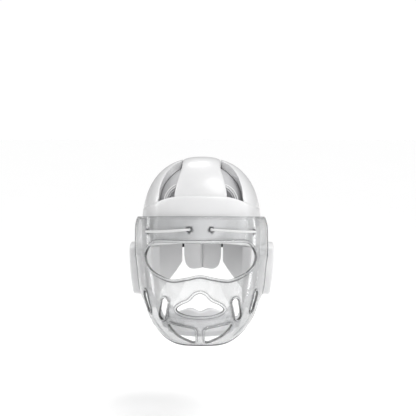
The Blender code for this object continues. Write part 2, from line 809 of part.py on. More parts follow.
def mask_stud(side, tag):
    mask_x = stud_mask_x()
    near = STUD_Y + STUD_FLANGE_R
    out = flap_out(math.pi / 2, -STUD_DROP)
    a, b, _ = form_axes(out)
    base = a * (1 - (abs(near) / b) ** FORM_POWER) ** (1 / FORM_POWER) + GAP
    inner = mask_x - MASK_WALL - STUD_SLACK
    outer = mask_x + STUD_SLACK
    profile = (
        (0, outer + STUD_FLANGE_WALL), (STUD_FLANGE_R, outer + STUD_FLANGE_WALL),
        (STUD_FLANGE_R, outer), (STUD_SHANK_R, outer), (STUD_SHANK_R, inner),
        (STUD_SHOULDER_R, inner), (STUD_SHOULDER_R, base + STUD_FLANGE_WALL),
        (STUD_FLANGE_R, base + STUD_FLANGE_WALL), (STUD_FLANGE_R, base), (0, base),
    )
    mesh = bpy.data.meshes.new("mask_stud_" + tag)
    points = [(radius, 0, height) for radius, height in profile]
    mesh.from_pydata(points, [(index, index + 1) for index in range(len(points) - 1)], [])
    stud = bpy.data.objects.new("mask_stud_" + tag, mesh)
    PARTS.objects.link(stud)
    mesh.materials.append(material(stud.name, WEB_COLOUR, 0.35))
    turned = stud.modifiers.new("turned", "SCREW")
    turned.steps = 10
    turned.render_steps = 10
    turned.use_merge_vertices = True
    turned.merge_threshold = 0.00005
    stud.rotation_euler = (0, side * math.pi / 2, 0)
    stud.location = (0, STUD_Y, -STUD_DROP)


def lacing_cord(side, tag):
    """Elastic cord: out of the band, over the mask's face and back into the band."""
    (inner, inner_way), (outer, outer_way) = lace_spots(side)
    lift = CORD_R + 3 * GAP
    points = []
    depth = (inner - band_face(inner, inner_way)).length + BORE_DEPTH - 2 * GAP
    for share in (1.0, 0.6, 0.2):
        points.append(inner - inner_way * depth * share)
    points.append(inner + inner_way * lift * 0.6)
    steps = 12
    for step in range(1, steps):
        share = step / steps
        x = blend(side * LACE_INNER_X, side * LACE_OUTER_X, share)
        z = -blend(LACE_INNER_DROP, LACE_OUTER_DROP, share)
        point, normal = mask_at(x, z)
        points.append(point + normal * lift)
    points.append(outer + outer_way * lift * 0.6)
    depth = (outer - band_face(outer, outer_way)).length + BORE_DEPTH - 2 * GAP
    for share in (0.2, 0.6, 1.0):
        points.append(outer - outer_way * depth * share)
    curve = bpy.data.curves.new("lacing_cord_" + tag, "CURVE")
    curve.dimensions = "3D"
    curve.bevel_depth = CORD_R
    curve.bevel_resolution = 2
    curve.use_fill_caps = True
    spline = curve.splines.new("POLY")
    spline.points.add(len(points) - 1)
    for target, point in zip(spline.points, points):
        target.co = (*point, 1)
    cord = bpy.data.objects.new("lacing_cord_" + tag, curve)
    PARTS.objects.link(cord)
    curve.materials.append(material(cord.name, WEB_COLOUR, 0.7))


def cup_face(angle, share, out):
    """Chin cup's outer face: angle round the chin, share of its height up from the low edge."""
    tuck = CUP_TUCK * (1 - share) ** 2
    return Vector((
        (CUP_HALF_WIDTH + out) * math.sin(angle),
        CUP_DEPTH - CUP_FRONT - (CUP_DEPTH + out) * math.cos(angle) + tuck, 0))


def chin_cup():
    columns = 12
    height = CUP_LOW_DROP - CUP_TOP_DROP

    def place(u, v, layer):
        spread = 2 * u - 1
        angle = math.radians(CUP_SPREAD) * spread
        point = cup_face(angle, v, -CUP_WALL * (1 - layer))
        top = -CUP_TOP_DROP - read_table(CUP_EDGE, abs(spread)) * height
        point.z = blend(-CUP_LOW_DROP, top, v)
        return point

    bevel(add_object("chin_cup", block(columns, 4, place)), PAD_BEVEL)


def strap_route(share):
    """Middle of the chin strap's inner face on the right: share 0 is the front, 1 the end."""
    cup_share = 0.5
    flap_share = 0.65
    height = (CUP_LOW_DROP - STRAP_FRONT_DROP) / (CUP_LOW_DROP - CUP_TOP_DROP)
    on_cup = cup_face(math.radians(CUP_SPREAD) * min(share / cup_share, 1), height, GAP + CUP_TUCK / 4)
    on_cup.z = -STRAP_FRONT_DROP
    first = math.radians(FLAP_FRONT - 2)
    part = max((share - flap_share) / (1 - flap_share), 0)
    azimuth = blend(first, math.radians(STRAP_END_AZIMUTH), part)
    out = flap_out(azimuth, -STRAP_END_DROP + STRAP_WIDTH / 2) + GAP + sagitta(math.radians(4))
    on_flap = wall_point(azimuth, -STRAP_END_DROP, out)
    rise = smooth_step((share - cup_share) / (flap_share - cup_share))
    return on_cup.lerp(on_flap, rise)


def chin_strap():
    columns = 34

    def place(u, v, layer):
        share = abs(2 * u - 1)
        side = 1 if u >= 0.5 else -1
        point = strap_route(share)
        ahead = strap_route(min(share + 0.01, 1)) - strap_route(max(share - 0.01, 0))
        if share < 0.01:
            ahead = Vector((1, 0, 0))
        level = Vector((ahead.y, -ahead.x, 0)).normalized()
        point = point + level * STRAP_WALL * layer + Vector((0, 0, (v - 0.5) * STRAP_WIDTH))
        return Vector((side * point.x, point.y, point.z))

    add_object("chin_strap", block(columns, 1, place), WEB_COLOUR, 0.8)


head_liner()
forehead_band()
crown_strip()
nape_pad()
back_strap()
face_mask()
chin_cup()
chin_strap()
for side_sign, side_tag in ((-1, "left"), (1, "right")):
    vent_grille(side_sign, side_tag)
    side_pad(side_sign, side_tag)
    ear_flap(side_sign, side_tag)
    ear_guard(side_sign, side_tag)
    mask_stud(side_sign, side_tag)
    lacing_cord(side_sign, side_tag)
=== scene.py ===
"""Karate headgear: a white dipped-foam head guard with a clear full-face mask laced to its forehead band.

Metres, +Z up, the face looks along -Y. The origin is the crown of the head inside the liner.
"""

import math

import bmesh
import bpy
import numpy as np
from mathutils import Matrix, Vector, geometry
from mathutils.bvhtree import BVHTree


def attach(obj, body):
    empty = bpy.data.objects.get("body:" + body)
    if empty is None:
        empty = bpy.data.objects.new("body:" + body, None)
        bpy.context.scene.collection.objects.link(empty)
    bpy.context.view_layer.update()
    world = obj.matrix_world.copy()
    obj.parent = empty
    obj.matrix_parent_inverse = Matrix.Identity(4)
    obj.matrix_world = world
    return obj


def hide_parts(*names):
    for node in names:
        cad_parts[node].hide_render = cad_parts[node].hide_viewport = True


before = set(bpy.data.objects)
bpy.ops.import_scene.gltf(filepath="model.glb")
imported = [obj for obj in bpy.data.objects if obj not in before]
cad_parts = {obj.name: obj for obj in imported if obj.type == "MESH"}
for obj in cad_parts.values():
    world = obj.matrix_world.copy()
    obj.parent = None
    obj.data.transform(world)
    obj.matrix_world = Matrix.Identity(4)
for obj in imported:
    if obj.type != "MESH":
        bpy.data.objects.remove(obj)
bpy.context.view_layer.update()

# The head form that every foam piece follows, as in the part's source
HEAD_BREADTH = 0.154
HEAD_LENGTH = 0.196
CROWN_HEIGHT = 0.092
FORM_POWER = 2.3
GAP = 0.0003
LINER_WALL = 0.008
BAND_OUT = 0.022
PAD_OUT = 0.020
FLAP_TAPER = 0.010
MASK_WALL = 0.0025
BROW_DROP = 0.108
EAR_DROP = 0.119
BAND_TOP_DROP = 0.0356
BAND_TOP_FALL = 0.0244
NAPE_DROP = 0.1825
FLAP_DROP = 0.224
BROW_BLEND = 47
BAND_RISE_FROM = 12
BAND_RISE_TO = 72
BAND_END_TOP = 72
BAND_END_LOW = 78
FLAP_FRONT = 48
FLAP_REAR = 158.7
STRIP_HALF_FRONT = 0.0415
STRIP_HALF_CROWN = 0.031
STRIP_PITCH_FULL = 27
STRIP_PITCH_SLIM = 65
VENT_SIDE = 0.038
VENT_DROP = 0.039
VENT_RING_R = 0.026
VENT_HOLE_R = 0.020
VENT_FLOOR = 0.003
GUARD_FACE_X = 0.120
GUARD_LEAN = 0.007
GUARD_MID_Y = 0.0175
GUARD_HALF_LENGTH = 0.0325
GUARD_DROP = 0.1235
GUARD_HEIGHT = 0.088
GUARD_SQUARENESS = 0.5
EAR_HOLE_DROP = 0.165
EAR_HOLE_HALF_WIDTH = 0.007
EAR_HOLE_HALF_HEIGHT = 0.013
NAPE_HALF_WIDTH = 0.0345
NAPE_CORNER = 0.0225
NAPE_NOTCH = 0.0025
NAPE_GROOVE = 0.0025
BACK_STRAP_DROP = 0.1205
BACK_STRAP_WIDTH = 0.025
BACK_STRAP_WALL = 0.002
BACK_STRAP_REACH = 35
MASK_TOP_DROP = 0.066
MASK_HEIGHT = 0.205
MASK_HALF_WIDTH = 0.1083
MASK_REAR = 0.020
MASK_TUCK = 0.081
MASK_BULGE = 0.029
MASK_POWER = 2.2
EYE_HALF_WIDTH = 0.0865
EYE_TOP_DROP = 0.1075
EYE_HEIGHT = 0.0547
BELL_HALF_WIDTH = 0.036
BELL_TOP_DROP = 0.1815
BELL_HEIGHT = 0.0338
CHIN_OPENING_SIDE = 0.0076
CHIN_OPENING_WIDTH = 0.0404
CHIN_OPENING_DROP = 0.230
CHIN_OPENING_HEIGHT = 0.031
SLOT_HALF_WIDTH = 0.0066
SLOT_LENGTH = 0.034
SLOT_LEAN = 0.0055
NEAR_SLOT_X = 0.0567
NEAR_SLOT_DROP = 0.208
NEAR_SLOT_AZIMUTH = 27
FAR_SLOT_X = 0.084
FAR_SLOT_DROP = 0.203
FAR_SLOT_AZIMUTH = 47
BRAID_R = 0.0019
LACE_HOLE_R = 0.0024
LACE_INNER_X = 0.0172
LACE_INNER_DROP = 0.0863
LACE_OUTER_X = 0.0843
LACE_OUTER_DROP = 0.0932
BORE_DEPTH = 0.009
STUD_Y = -0.027
STUD_DROP = 0.137
STUD_SHANK_R = 0.003
STUD_SHOULDER_R = 0.0042
STUD_FLANGE_R = 0.0055
STUD_FLANGE_WALL = 0.0016
STUD_SLACK = 0.0013
CUP_FRONT = 0.126
CUP_HALF_WIDTH = 0.058
CUP_DEPTH = 0.060
CUP_SPREAD = 68
CUP_WALL = 0.011
CUP_TOP_DROP = 0.2086
CUP_LOW_DROP = 0.258
CUP_TUCK = 0.020
STRAP_WIDTH = 0.018
STRAP_WALL = 0.002
STRAP_FRONT_DROP = 0.236
STRAP_END_DROP = 0.199
STRAP_END_AZIMUTH = 68

EYE_OUTLINE = (
    (0.00, 0.00), (0.44, 0.00), (0.807, 0.024), (0.931, 0.165), (1.00, 0.411), (0.968, 0.649),
    (0.873, 0.804), (0.744, 0.901), (0.505, 0.996), (0.24, 0.929), (0.00, 0.859),
)
BELL_OUTLINE = (
    (0.00, 0.00), (0.20, 0.07), (0.36, 0.24), (0.50, 0.36), (0.78, 0.50), (0.94, 0.62),
    (1.00, 0.72), (0.93, 0.82), (0.75, 0.90), (0.45, 0.97), (0.00, 1.00),
)
CHIN_OUTLINE = (
    (0.00, 0.34), (0.02, 0.24), (0.12, 0.17), (0.40, 0.10), (0.72, 0.03), (0.92, 0.00),
    (1.00, 0.04), (0.96, 0.16), (0.82, 0.38), (0.56, 0.68), (0.24, 0.90), (0.10, 0.985),
    (0.03, 0.985), (0.00, 0.90), (0.00, 0.60),
)
# Mask sections: centre drop, lead over the band, half width, rear tuck, rear drop, side reach
MASK_SECTIONS = (
    (0.000, -0.05, 0.960, 0.10, 0.049, 0.86),
    (0.088, 0.01, 0.988, 0.06, 0.127, 0.97),
    (0.185, 0.14, 0.997, 0.025, 0.215, 1.00),
    (0.341, 0.33, 1.000, 0.00, 0.346, 1.00),
    (0.420, 0.48, 0.979, 0.00, 0.434, 1.00),
    (0.517, 0.69, 0.960, 0.00, 0.541, 1.00),
    (0.615, 0.90, 0.933, 0.00, 0.649, 1.00),
    (0.712, 1.00, 0.863, 0.10, 0.727, 1.00),
    (0.800, 0.93, 0.776, 0.27, 0.832, 1.00),
    (0.878, 0.72, 0.693, 0.44, 0.885, 1.00),
    (0.937, 0.34, 0.560, 0.67, 0.941, 0.96),
    (0.976, -0.10, 0.425, 0.86, 0.976, 0.88),
    (1.000, -0.62, 0.290, 1.00, 0.994, 0.78),
)
# Recess edge on each side pad: azimuth, drop from the inner crown as a share of BAND_TOP_DROP
RECESS_EDGE = (
    (39.5, 1.12), (42.8, 0.744), (45.5, 0.393), (49.7, 0.014), (54.0, -0.17), (58.2, -0.292),
)
# Flap lower edge: azimuth, share of the flap's height
FLAP_EDGE = (
    (48, 0.91), (54, 0.975), (62, 1.0), (75, 1.0), (100, 0.98), (120, 0.90), (138, 0.78),
    (150, 0.64), (158.7, 0.47),
)
# Cup top edge: share of the half spread, share of the cup's height down from its top
CUP_EDGE = ((0.0, 0.117), (0.25, 0.0), (0.45, 0.08), (0.72, 0.17), (1.0, 0.03))

SIDES = ((-1, "left"), (1, "right"))

# What the scene adds to the CAD: tucks, roundings, swells and the rims' sections
PAD_SEAT = LINER_WALL + GAP + 0.0007
PAD_TUCK = 0.0035
PAD_UNDERCUT = 6.5
PAD_END_GAP = 0.8
LINER_ROUND = 0.0028
VENT_ROUND = 0.0005
BAND_ROUND = 0.0032
STRIP_ROUND = 0.0036
SIDE_PAD_ROUND = 0.0062
FLAP_ROUND = 0.0036
GUARD_ROUND = 0.0028
NAPE_ROUND = 0.0030
CUP_ROUND = 0.0032
WEB_ROUND = 0.0006
STRAP_CLOTH = 0.33
HARD_ROUND = 0.0003
STRIP_SWELL = 0.0012
SIDE_PAD_SWELL = 0.0010
GUARD_SWELL = 0.0014
NAPE_SWELL = 0.0012
EAR_WELL_R = 0.0165
EAR_WELL_DEPTH = 0.0028
EAR_WELL_SLOPE = 0.004
EAR_WELL_SQUEEZE = 0.72
# Vent collar rings: radius, thickness, lift over the vent's floor
VENT_COLLAR = ((0.0243, 0.0013, 0.0040), (0.0211, 0.0011, 0.0034))
NET_WIDTH = 0.040
NET_LIFT = 0.0012
NET_STRAND = 0.0010
HOOP_INSET = 0.0011
HOOP_THICKNESS = 0.0008
# Mask rims: width, rise over the sheet, spacing of the corners along the edge
BORDER_RIM = (0.0042, 0.0015, 0.0018)
EYE_RIM = (0.0046, 0.0017, 0.0016)
BELL_RIM = (0.0042, 0.0016, 0.0011)
CHIN_RIM = (0.0032, 0.0014, 0.0010)
SLOT_RIM = (0.0030, 0.0014, 0.0009)
LACE_RIM = (0.0013, 0.0006, 0.0006)
STUD_RIM = (0.0018, 0.0006, 0.0008)
# How wide the rims' painted dark shade lines are: at the border, at an opening's edge and at its rim's foot
BORDER_LINE = 0.0010
RIM_LINE = 0.0006
RIM_FOOT_LINE = 0.0007
# Rows of corners beside the mask's border, and beside an opening as shares of its rim's width
BORDER_ROWS = (0.0004, 0.0010, 0.0024, 0.0030, 0.0036, 0.0042, 0.0050)
RIM_ROWS = (0.08, 0.2, 0.62, 0.74, 0.87, 1.0, 1.2)
SHEET_PITCH = 0.0036

FLOOR_LEVEL = -0.42
SUN_POWER = 1.4
SUN_WIDTH = 35
SUN_WAY = (-0.34, 0.25, -0.90)
AMBIENT = 0.14
DOME_GLOW = 0.72
DOME_WAY = (-0.10, -0.18, 0.97)
SEEN_WORLD = 1.02
# Area lights: name, width, height, power, place, target
AREA_LIGHTS = (
    ("left_strip_light", 0.14, 0.9, 3.4, (-1.05, 0.25, 0.62), (-0.05, 0, -0.02)),
    ("right_strip_light", 0.14, 0.9, 2.6, (1.05, 0.25, 0.62), (0.05, 0, -0.02)),
    ("left_rim_light", 0.06, 0.6, 0.7, (-1.1, 0.12, -0.06), (-0.05, 0, -0.12)),
    ("right_rim_light", 0.06, 0.6, 0.8, (1.1, 0.12, -0.06), (0.05, 0, -0.12)),
    ("glint_light", 0.07, 0.035, 0.22, (-0.01, -1.12, -0.20), (0, 0, -0.10)),
    ("top_softbox", 0.35, 0.25, 2.4, (-0.08, 0.85, 1.0), (0, -0.03, 0)),
    ("right_softbox", 0.5, 0.5, 0.8, (1.2, -0.5, 0.2), (0, 0, -0.12)),
    ("chin_softbox", 0.5, 0.3, 1.8, (0.2, -1.0, -0.24), (-0.02, 0, -0.18)),
)


# The head form
def smooth_step(value):
    share = min(max(value, 0.0), 1.0)
    return share * share * (3 - 2 * share)


def blend(low, high, share):
    return low + (high - low) * share


def catmull(p0, p1, p2, p3, t):
    return 0.5 * (2 * p1 + (p2 - p0) * t + (2 * p0 - 5 * p1 + 4 * p2 - p3) * t * t
                  + (3 * p1 - p0 - 3 * p2 + p3) * t ** 3)


def halve(low, high, holds):
    """Closes in on the last place between low and high where holds(place) is true."""
    for _ in range(30):
        middle = (low + high) / 2
        if holds(middle):
            low = middle
        else:
            high = middle
    return low


def read_curve(table, key):
    """Smooth reading of a two-column table: the tangents follow the neighbouring rows."""
    if key <= table[0][0]:
        return table[0][1]
    for index in range(len(table) - 1):
        low, high = table[index], table[index + 1]
        if key <= high[0]:
            span = high[0] - low[0]
            before = table[max(index - 1, 0)]
            after = table[min(index + 2, len(table) - 1)]
            slope_in = (high[1] - before[1]) / (high[0] - before[0])
            slope_out = (after[1] - low[1]) / (after[0] - low[0])
            t = (key - low[0]) / span
            return (low[1] * (2 * t ** 3 - 3 * t * t + 1) + slope_in * span * (t ** 3 - 2 * t * t + t)
                    + high[1] * (3 * t * t - 2 * t ** 3) + slope_out * span * (t ** 3 - t * t))
    return table[-1][1]


def form_axes(out):
    return HEAD_BREADTH / 2 + out, HEAD_LENGTH / 2 + out, CROWN_HEIGHT + out


def form_point(azimuth, rise, out):
    """Point `out` outside the head form; below the widest level the wall drops straight."""
    a, b, c = form_axes(out)
    level = max(rise, 0.0)
    x = math.sin(azimuth) * math.cos(level)
    y = -math.cos(azimuth) * math.cos(level)
    z = math.sin(level)
    total = (abs(x) / a) ** FORM_POWER + (abs(y) / b) ** FORM_POWER + (z / c) ** FORM_POWER
    size = total ** (-1 / FORM_POWER)
    return Vector((x * size, y * size, z * size + min(rise, 0.0) * CROWN_HEIGHT - CROWN_HEIGHT))


def rise_at(azimuth, z, out):
    height = z + CROWN_HEIGHT
    if height <= 0:
        return height / CROWN_HEIGHT
    a, b, c = form_axes(out)
    plan = (1 - (height / c) ** FORM_POWER) ** (1 / FORM_POWER)
    across = (abs(math.sin(azimuth)) / a) ** FORM_POWER
    along = (abs(math.cos(azimuth)) / b) ** FORM_POWER
    return math.atan2(height, plan * (across + along) ** (-1 / FORM_POWER))


def wall_point(azimuth, z, out):
    return form_point(azimuth, rise_at(azimuth, z, out), out)


def strip_point(x, pitch, out):
    """Point on the form over the crown: pitch 0 is the front, 90 degrees the top."""
    a, b, c = form_axes(out)
    level = min(pitch, math.pi)
    radius = (1 - (abs(x) / a) ** FORM_POWER) ** (1 / FORM_POWER)
    along = (abs(math.cos(level)) / b) ** FORM_POWER
    up = (abs(math.sin(level)) / c) ** FORM_POWER
    radius *= (along + up) ** (-1 / FORM_POWER)
    drop = max(pitch - math.pi, 0.0) * CROWN_HEIGHT
    return Vector((x, -radius * math.cos(level), radius * math.sin(level) - drop - CROWN_HEIGHT))


def strip_half(pitch):
    share = (math.radians(STRIP_PITCH_SLIM) - pitch) / math.radians(STRIP_PITCH_SLIM - STRIP_PITCH_FULL)
    return STRIP_HALF_CROWN + (STRIP_HALF_FRONT - STRIP_HALF_CROWN) * smooth_step(share)


def form_side(y, out):
    """Half width of the form's straight wall at this y."""
    a, b, _ = form_axes(out)
    return a * (1 - (abs(y) / b) ** FORM_POWER) ** (1 / FORM_POWER)


def band_top(azimuth):
    share = (math.degrees(abs(azimuth)) - BAND_RISE_FROM) / (BAND_RISE_TO - BAND_RISE_FROM)
    return -BAND_TOP_DROP - BAND_TOP_FALL * smooth_step(share)


def lower_edge(azimuth):
    share = min(math.degrees(abs(azimuth)) / BROW_BLEND, 1.0)
    return -BROW_DROP - (EAR_DROP - BROW_DROP) * share * share


def flap_out(z):
    share = (-z - EAR_DROP) / (FLAP_DROP - EAR_DROP)
    return PAD_OUT - FLAP_TAPER * smooth_step(share)


def strip_front(x, out):
    """Pitch at which the crown strip starts, a tuck behind the band's top edge."""
    a, b, c = form_axes(out)
    up = CROWN_HEIGHT + band_top(math.atan2(x, b)) - PAD_TUCK
    rest = 1 - (abs(x) / a) ** FORM_POWER - (up / c) ** FORM_POWER
    return math.atan2(up, b * rest ** (1 / FORM_POWER))


def strip_edge_rise(azimuth, out):
    """Rise at which the form, at this azimuth, meets the side of the crown strip."""
    def beside(rise):
        point = form_point(azimuth, rise, out)
        pitch = math.atan2(point.z + CROWN_HEIGHT, -point.y)
        return abs(point.x) > strip_half(pitch) + 2 * GAP

    return halve(0.0, math.pi / 2, beside)


def strip_edge_azimuth(rise, out):
    """Azimuth, behind the head, at which the form meets the side of the crown strip."""
    edge = STRIP_HALF_CROWN + 2 * GAP
    return halve(math.pi / 2, math.pi, lambda azimuth: form_point(azimuth, rise, out).x > edge)


def vent_place(side):
    a, b, c = form_axes(LINER_WALL)
    up = CROWN_HEIGHT - VENT_DROP
    rest = 1 - (VENT_SIDE / a) ** FORM_POWER - (up / c) ** FORM_POWER
    front = b * rest ** (1 / FORM_POWER)
    power = FORM_POWER - 1
    normal = Vector((
        side * (VENT_SIDE / a) ** power / a,
        -(front / b) ** power / b,
        (up / c) ** power / c)).normalized()
    surface = Vector((side * VENT_SIDE, -front, -VENT_DROP))
    return surface - normal * LINER_WALL, normal


# The mask's surface
def mask_section(row):
    index = min(int(row), len(MASK_SECTIONS) - 2)
    near = [MASK_SECTIONS[min(max(index + shift, 0), len(MASK_SECTIONS) - 1)] for shift in (-1, 0, 1, 2)]
    return [catmull(*values, row - index) for values in zip(*near)]


def mask_point(turn, row):
    """Outer face of the mask: turn -1 to 1 from rear edge to rear edge, row down the table."""
    drop, lead, half, tuck, rear_drop, reach = mask_section(row)
    front = HEAD_LENGTH / 2 + BAND_OUT + GAP + MASK_WALL + lead * MASK_BULGE
    rear = MASK_REAR + tuck * MASK_TUCK
    angle = turn * min(reach, 1.0) * math.pi / 2
    power = 2 / MASK_POWER
    across = math.copysign(abs(math.sin(angle)) ** power, angle)
    along = abs(math.cos(angle)) ** power
    return Vector((
        across * half * MASK_HALF_WIDTH,
        -blend(rear, front, along),
        -MASK_TOP_DROP - blend(rear_drop, drop, along) * MASK_HEIGHT))


def mask_normal(turn, row):
    step = 0.002
    last = len(MASK_SECTIONS) - 1
    across = mask_point(min(turn + step, 1), row) - mask_point(max(turn - step, -1), row)
    down = mask_point(turn, min(row + step, last)) - mask_point(turn, max(row - step, 0))
    return down.cross(across).normalized()


def mask_at(x, z):
    """Point and normal of the mask's outer face at the given x and z."""
    turn = 0.6 * x / MASK_HALF_WIDTH
    row = (-z - MASK_TOP_DROP) / MASK_HEIGHT * (len(MASK_SECTIONS) - 1)
    for _ in range(40):
        point = mask_point(turn, row)
        turn = min(max(turn + (x - point.x) * 3, -0.98), 0.98)
        row = min(max(row - (z - point.z) * 30, 0), len(MASK_SECTIONS) - 1)
    return mask_point(turn, row), mask_normal(turn, row)


def lace_spots(side):
    inner = mask_at(side * LACE_INNER_X, -LACE_INNER_DROP)
    outer = mask_at(side * LACE_OUTER_X, -LACE_OUTER_DROP)
    return [(point, Vector((normal.x, normal.y, 0)).normalized()) for point, normal in (inner, outer)]


def band_face(point, normal):
    """Where the line from a lacing hole, against its direction, meets the band."""
    def outside(depth):
        spot = point - normal * depth
        return spot.xy.length > wall_point(math.atan2(spot.x, -spot.y), spot.z, BAND_OUT).xy.length

    return point - normal * halve(0.0, 2 * BAND_OUT, outside)


def stud_mask_x():
    """How far out the mask lies at the studs."""
    row = (STUD_DROP - MASK_TOP_DROP) / MASK_HEIGHT / MASK_SECTIONS[3][0] * 3
    return mask_point(halve(0.5, 1.0, lambda turn: mask_point(turn, row).y < STUD_Y), row).x


# Materials
def new_group(name, inputs, outputs):
    group = bpy.data.node_groups.new(name, "ShaderNodeTree")
    for label, kind, value in inputs:
        socket = group.interface.new_socket(label, in_out="INPUT", socket_type=kind)
        socket.default_value = value
    for label, kind in outputs:
        group.interface.new_socket(label, in_out="OUTPUT", socket_type=kind)
    return group, Nodes(group)


class Nodes:
    """Short way to add and wire the nodes of one tree."""

    def __init__(self, tree):
        self.tree = tree

    def add(self, kind, values=(), links=(), **settings):
        node = self.tree.nodes.new(kind)
        for key, value in settings.items():
            setattr(node, key, value)
        for key, value in dict(values).items():
            node.inputs[key].default_value = value
        for key, source in dict(links).items():
            self.tree.links.new(source, node.inputs[key])
        return node

    def math(self, operation, first, second=0.5, third=0.5):
        node = self.tree.nodes.new("ShaderNodeMath")
        node.operation = operation
        for index, value in enumerate((first, second, third)):
            if isinstance(value, (int, float)):
                node.inputs[index].default_value = value
            else:
                self.tree.links.new(value, node.inputs[index])
        return node.outputs[0]

    def mix(self, share, first, second):
        node = self.tree.nodes.new("ShaderNodeMix")
        node.data_type = "RGBA"
        for key, value in ((0, share), (6, first), (7, second)):
            if isinstance(value, bpy.types.NodeSocket):
                self.tree.links.new(value, node.inputs[key])
            else:
                node.inputs[key].default_value = value
        return node.outputs[2]

    def clamp(self, value, low=0.0, high=1.0):
        return self.math("MINIMUM", self.math("MAXIMUM", value, low), high)

    def place(self):
        return self.add("ShaderNodeTexCoord").outputs["Object"]

    def mark(self, name, output="Fac"):
        """The piece's own attribute of this name."""
        return self.add("ShaderNodeAttribute", attribute_name=name).outputs[output]

    def noise(self, place, scale, detail=2, distortion=0.0):
        values = {"Scale": scale, "Detail": detail, "Distortion": distortion}
        return self.add("ShaderNodeTexNoise", values, {"Vector": place}).outputs["Fac"]


def foam_skin_group():
    """Dipped foam skin: faint clouding, pebble grain, painted highlights along sharp edges and painted shade
    in the creases.
    """
    group, nodes = new_group("Dipped foam skin", (
        ("Colour", "NodeSocketColor", (0.8, 0.8, 0.8, 1)),
        ("Crease Colour", "NodeSocketColor", (0.5, 0.5, 0.5, 1)),
        ("Roughness", "NodeSocketFloat", 0.4),
        ("Grain", "NodeSocketFloat", 0.1),
    ), (("Colour", "NodeSocketColor"), ("Roughness", "NodeSocketFloat"), ("Normal", "NodeSocketVector")))
    given = nodes.add("NodeGroupInput").outputs
    place = nodes.place()
    cloud = nodes.noise(place, 22, 3)
    ripple = nodes.noise(place, 120)
    speck = nodes.noise(place, 1600, 1)
    pebble = nodes.add("ShaderNodeTexVoronoi", {"Scale": 900}, {"Vector": place}, feature="SMOOTH_F1")
    clouded = nodes.math("MULTIPLY_ADD", cloud, 0.10, 0.95)
    tinted = nodes.add("ShaderNodeVectorMath", (), {0: given["Colour"], 1: clouded}, operation="MULTIPLY")
    # painted shade: the crease colour mixed in where the surface bends inwards
    with_painted_crease_shade = nodes.mix(nodes.mark("crease"), tinted.outputs[0], given["Crease Colour"])
    # painted highlight: paler colour along sharp outward edges
    painted_edge_highlight = nodes.math("MULTIPLY", nodes.mark("edge"), nodes.math("MULTIPLY_ADD", ripple, 0.5, 0.1))
    with_painted_edge_highlight = nodes.mix(painted_edge_highlight, with_painted_crease_shade, (0.95, 0.95, 0.95, 1))
    rough = nodes.math("MULTIPLY_ADD", cloud, 0.12, nodes.math("ADD", given["Roughness"], -0.06))
    rough = nodes.math("MULTIPLY_ADD", speck, 0.06, rough)
    relief = nodes.math("MULTIPLY_ADD", pebble.outputs["Distance"], 0.6, speck)
    relief = nodes.math("MULTIPLY_ADD", ripple, 2.4, relief)
    bump = nodes.add("ShaderNodeBump", {"Distance": 0.0003}, {"Height": relief, "Strength": given["Grain"]})
    nodes.add("NodeGroupOutput", (), {"Colour": with_painted_edge_highlight, "Roughness": rough, "Normal": bump.outputs[0]})
    return group


def weave_group():
    """Plain weave on the piece's own 'cloth' attribute, which runs in metres along and across the band."""
    group, nodes = new_group("Woven band", (
        ("Colour", "NodeSocketColor", (0.8, 0.8, 0.8, 1)),
        ("Gap Colour", "NodeSocketColor", (0.4, 0.4, 0.4, 1)),
        ("Pitch", "NodeSocketFloat", 0.001),
        ("Slant", "NodeSocketFloat", 0.0),
        ("Relief", "NodeSocketFloat", 0.6),
    ), (("Colour", "NodeSocketColor"), ("Normal", "NodeSocketVector")))
    given = nodes.add("NodeGroupInput").outputs
    parts = nodes.add("ShaderNodeSeparateXYZ", (), {0: nodes.mark("cloth", "Vector")}).outputs
    slanted = nodes.math("MULTIPLY", parts[0], given["Slant"])
    leaning = nodes.math("MULTIPLY_ADD", parts[1], given["Slant"], parts[0])
    along = nodes.math("DIVIDE", leaning, given["Pitch"])
    across = nodes.math("DIVIDE", nodes.math("SUBTRACT", parts[1], slanted), given["Pitch"])
    warp = nodes.math("ABSOLUTE", nodes.math("SINE", nodes.math("MULTIPLY", across, math.pi)))
    weft = nodes.math("ABSOLUTE", nodes.math("SINE", nodes.math("MULTIPLY", along, math.pi)))
    cell = nodes.math("ADD", nodes.math("FLOOR", along), nodes.math("FLOOR", across))
    over = nodes.math("GREATER_THAN", nodes.math("FRACT", nodes.math("MULTIPLY", cell, 0.5)), 0.25)
    height = nodes.math("ADD", nodes.math("MULTIPLY", over, warp),
                        nodes.math("MULTIPLY", nodes.math("SUBTRACT", 1.0, over), weft))
    height = nodes.math("POWER", height, 0.6)
    fuzz = nodes.noise(nodes.place(), 1800)
    shade = nodes.math("MULTIPLY", height, nodes.math("MULTIPLY_ADD", fuzz, 0.4, 0.8))
    colour = nodes.mix(shade, given["Gap Colour"], given["Colour"])
    bump = nodes.add("ShaderNodeBump", {"Distance": 0.0003},
                     {"Height": nodes.math("ADD", height, nodes.math("MULTIPLY", fuzz, 0.3)),
                      "Strength": given["Relief"]})
    nodes.add("NodeGroupOutput", (), {"Colour": colour, "Normal": bump.outputs[0]})
    return group


def new_material(name, values):
    made = bpy.data.materials.new(name)
    made.use_nodes = True
    shader = made.node_tree.nodes["Principled BSDF"]
    for key, value in values.items():
        shader.inputs[key].default_value = value
    return made, Nodes(made.node_tree), shader


FOAM_SKIN = foam_skin_group()
WEAVE = weave_group()


def grouped_material(name, group, values, settings):
    """A material whose look comes from a node group, with the group's values and the shader's settings."""
    made, nodes, shader = new_material(name, settings)
    look = nodes.add("ShaderNodeGroup", values, node_tree=group)
    for output in look.outputs:
        key = "Base Color" if output.name == "Colour" else output.name
        made.node_tree.links.new(output, shader.inputs[key])
    return made


def foam_material(name, colour, crease, roughness, grain, coat):
    return grouped_material(name, FOAM_SKIN, {
        "Colour": colour, "Crease Colour": crease, "Roughness": roughness, "Grain": grain,
    }, {"Coat Weight": coat, "Coat Roughness": 0.18, "Specular IOR Level": 0.42})


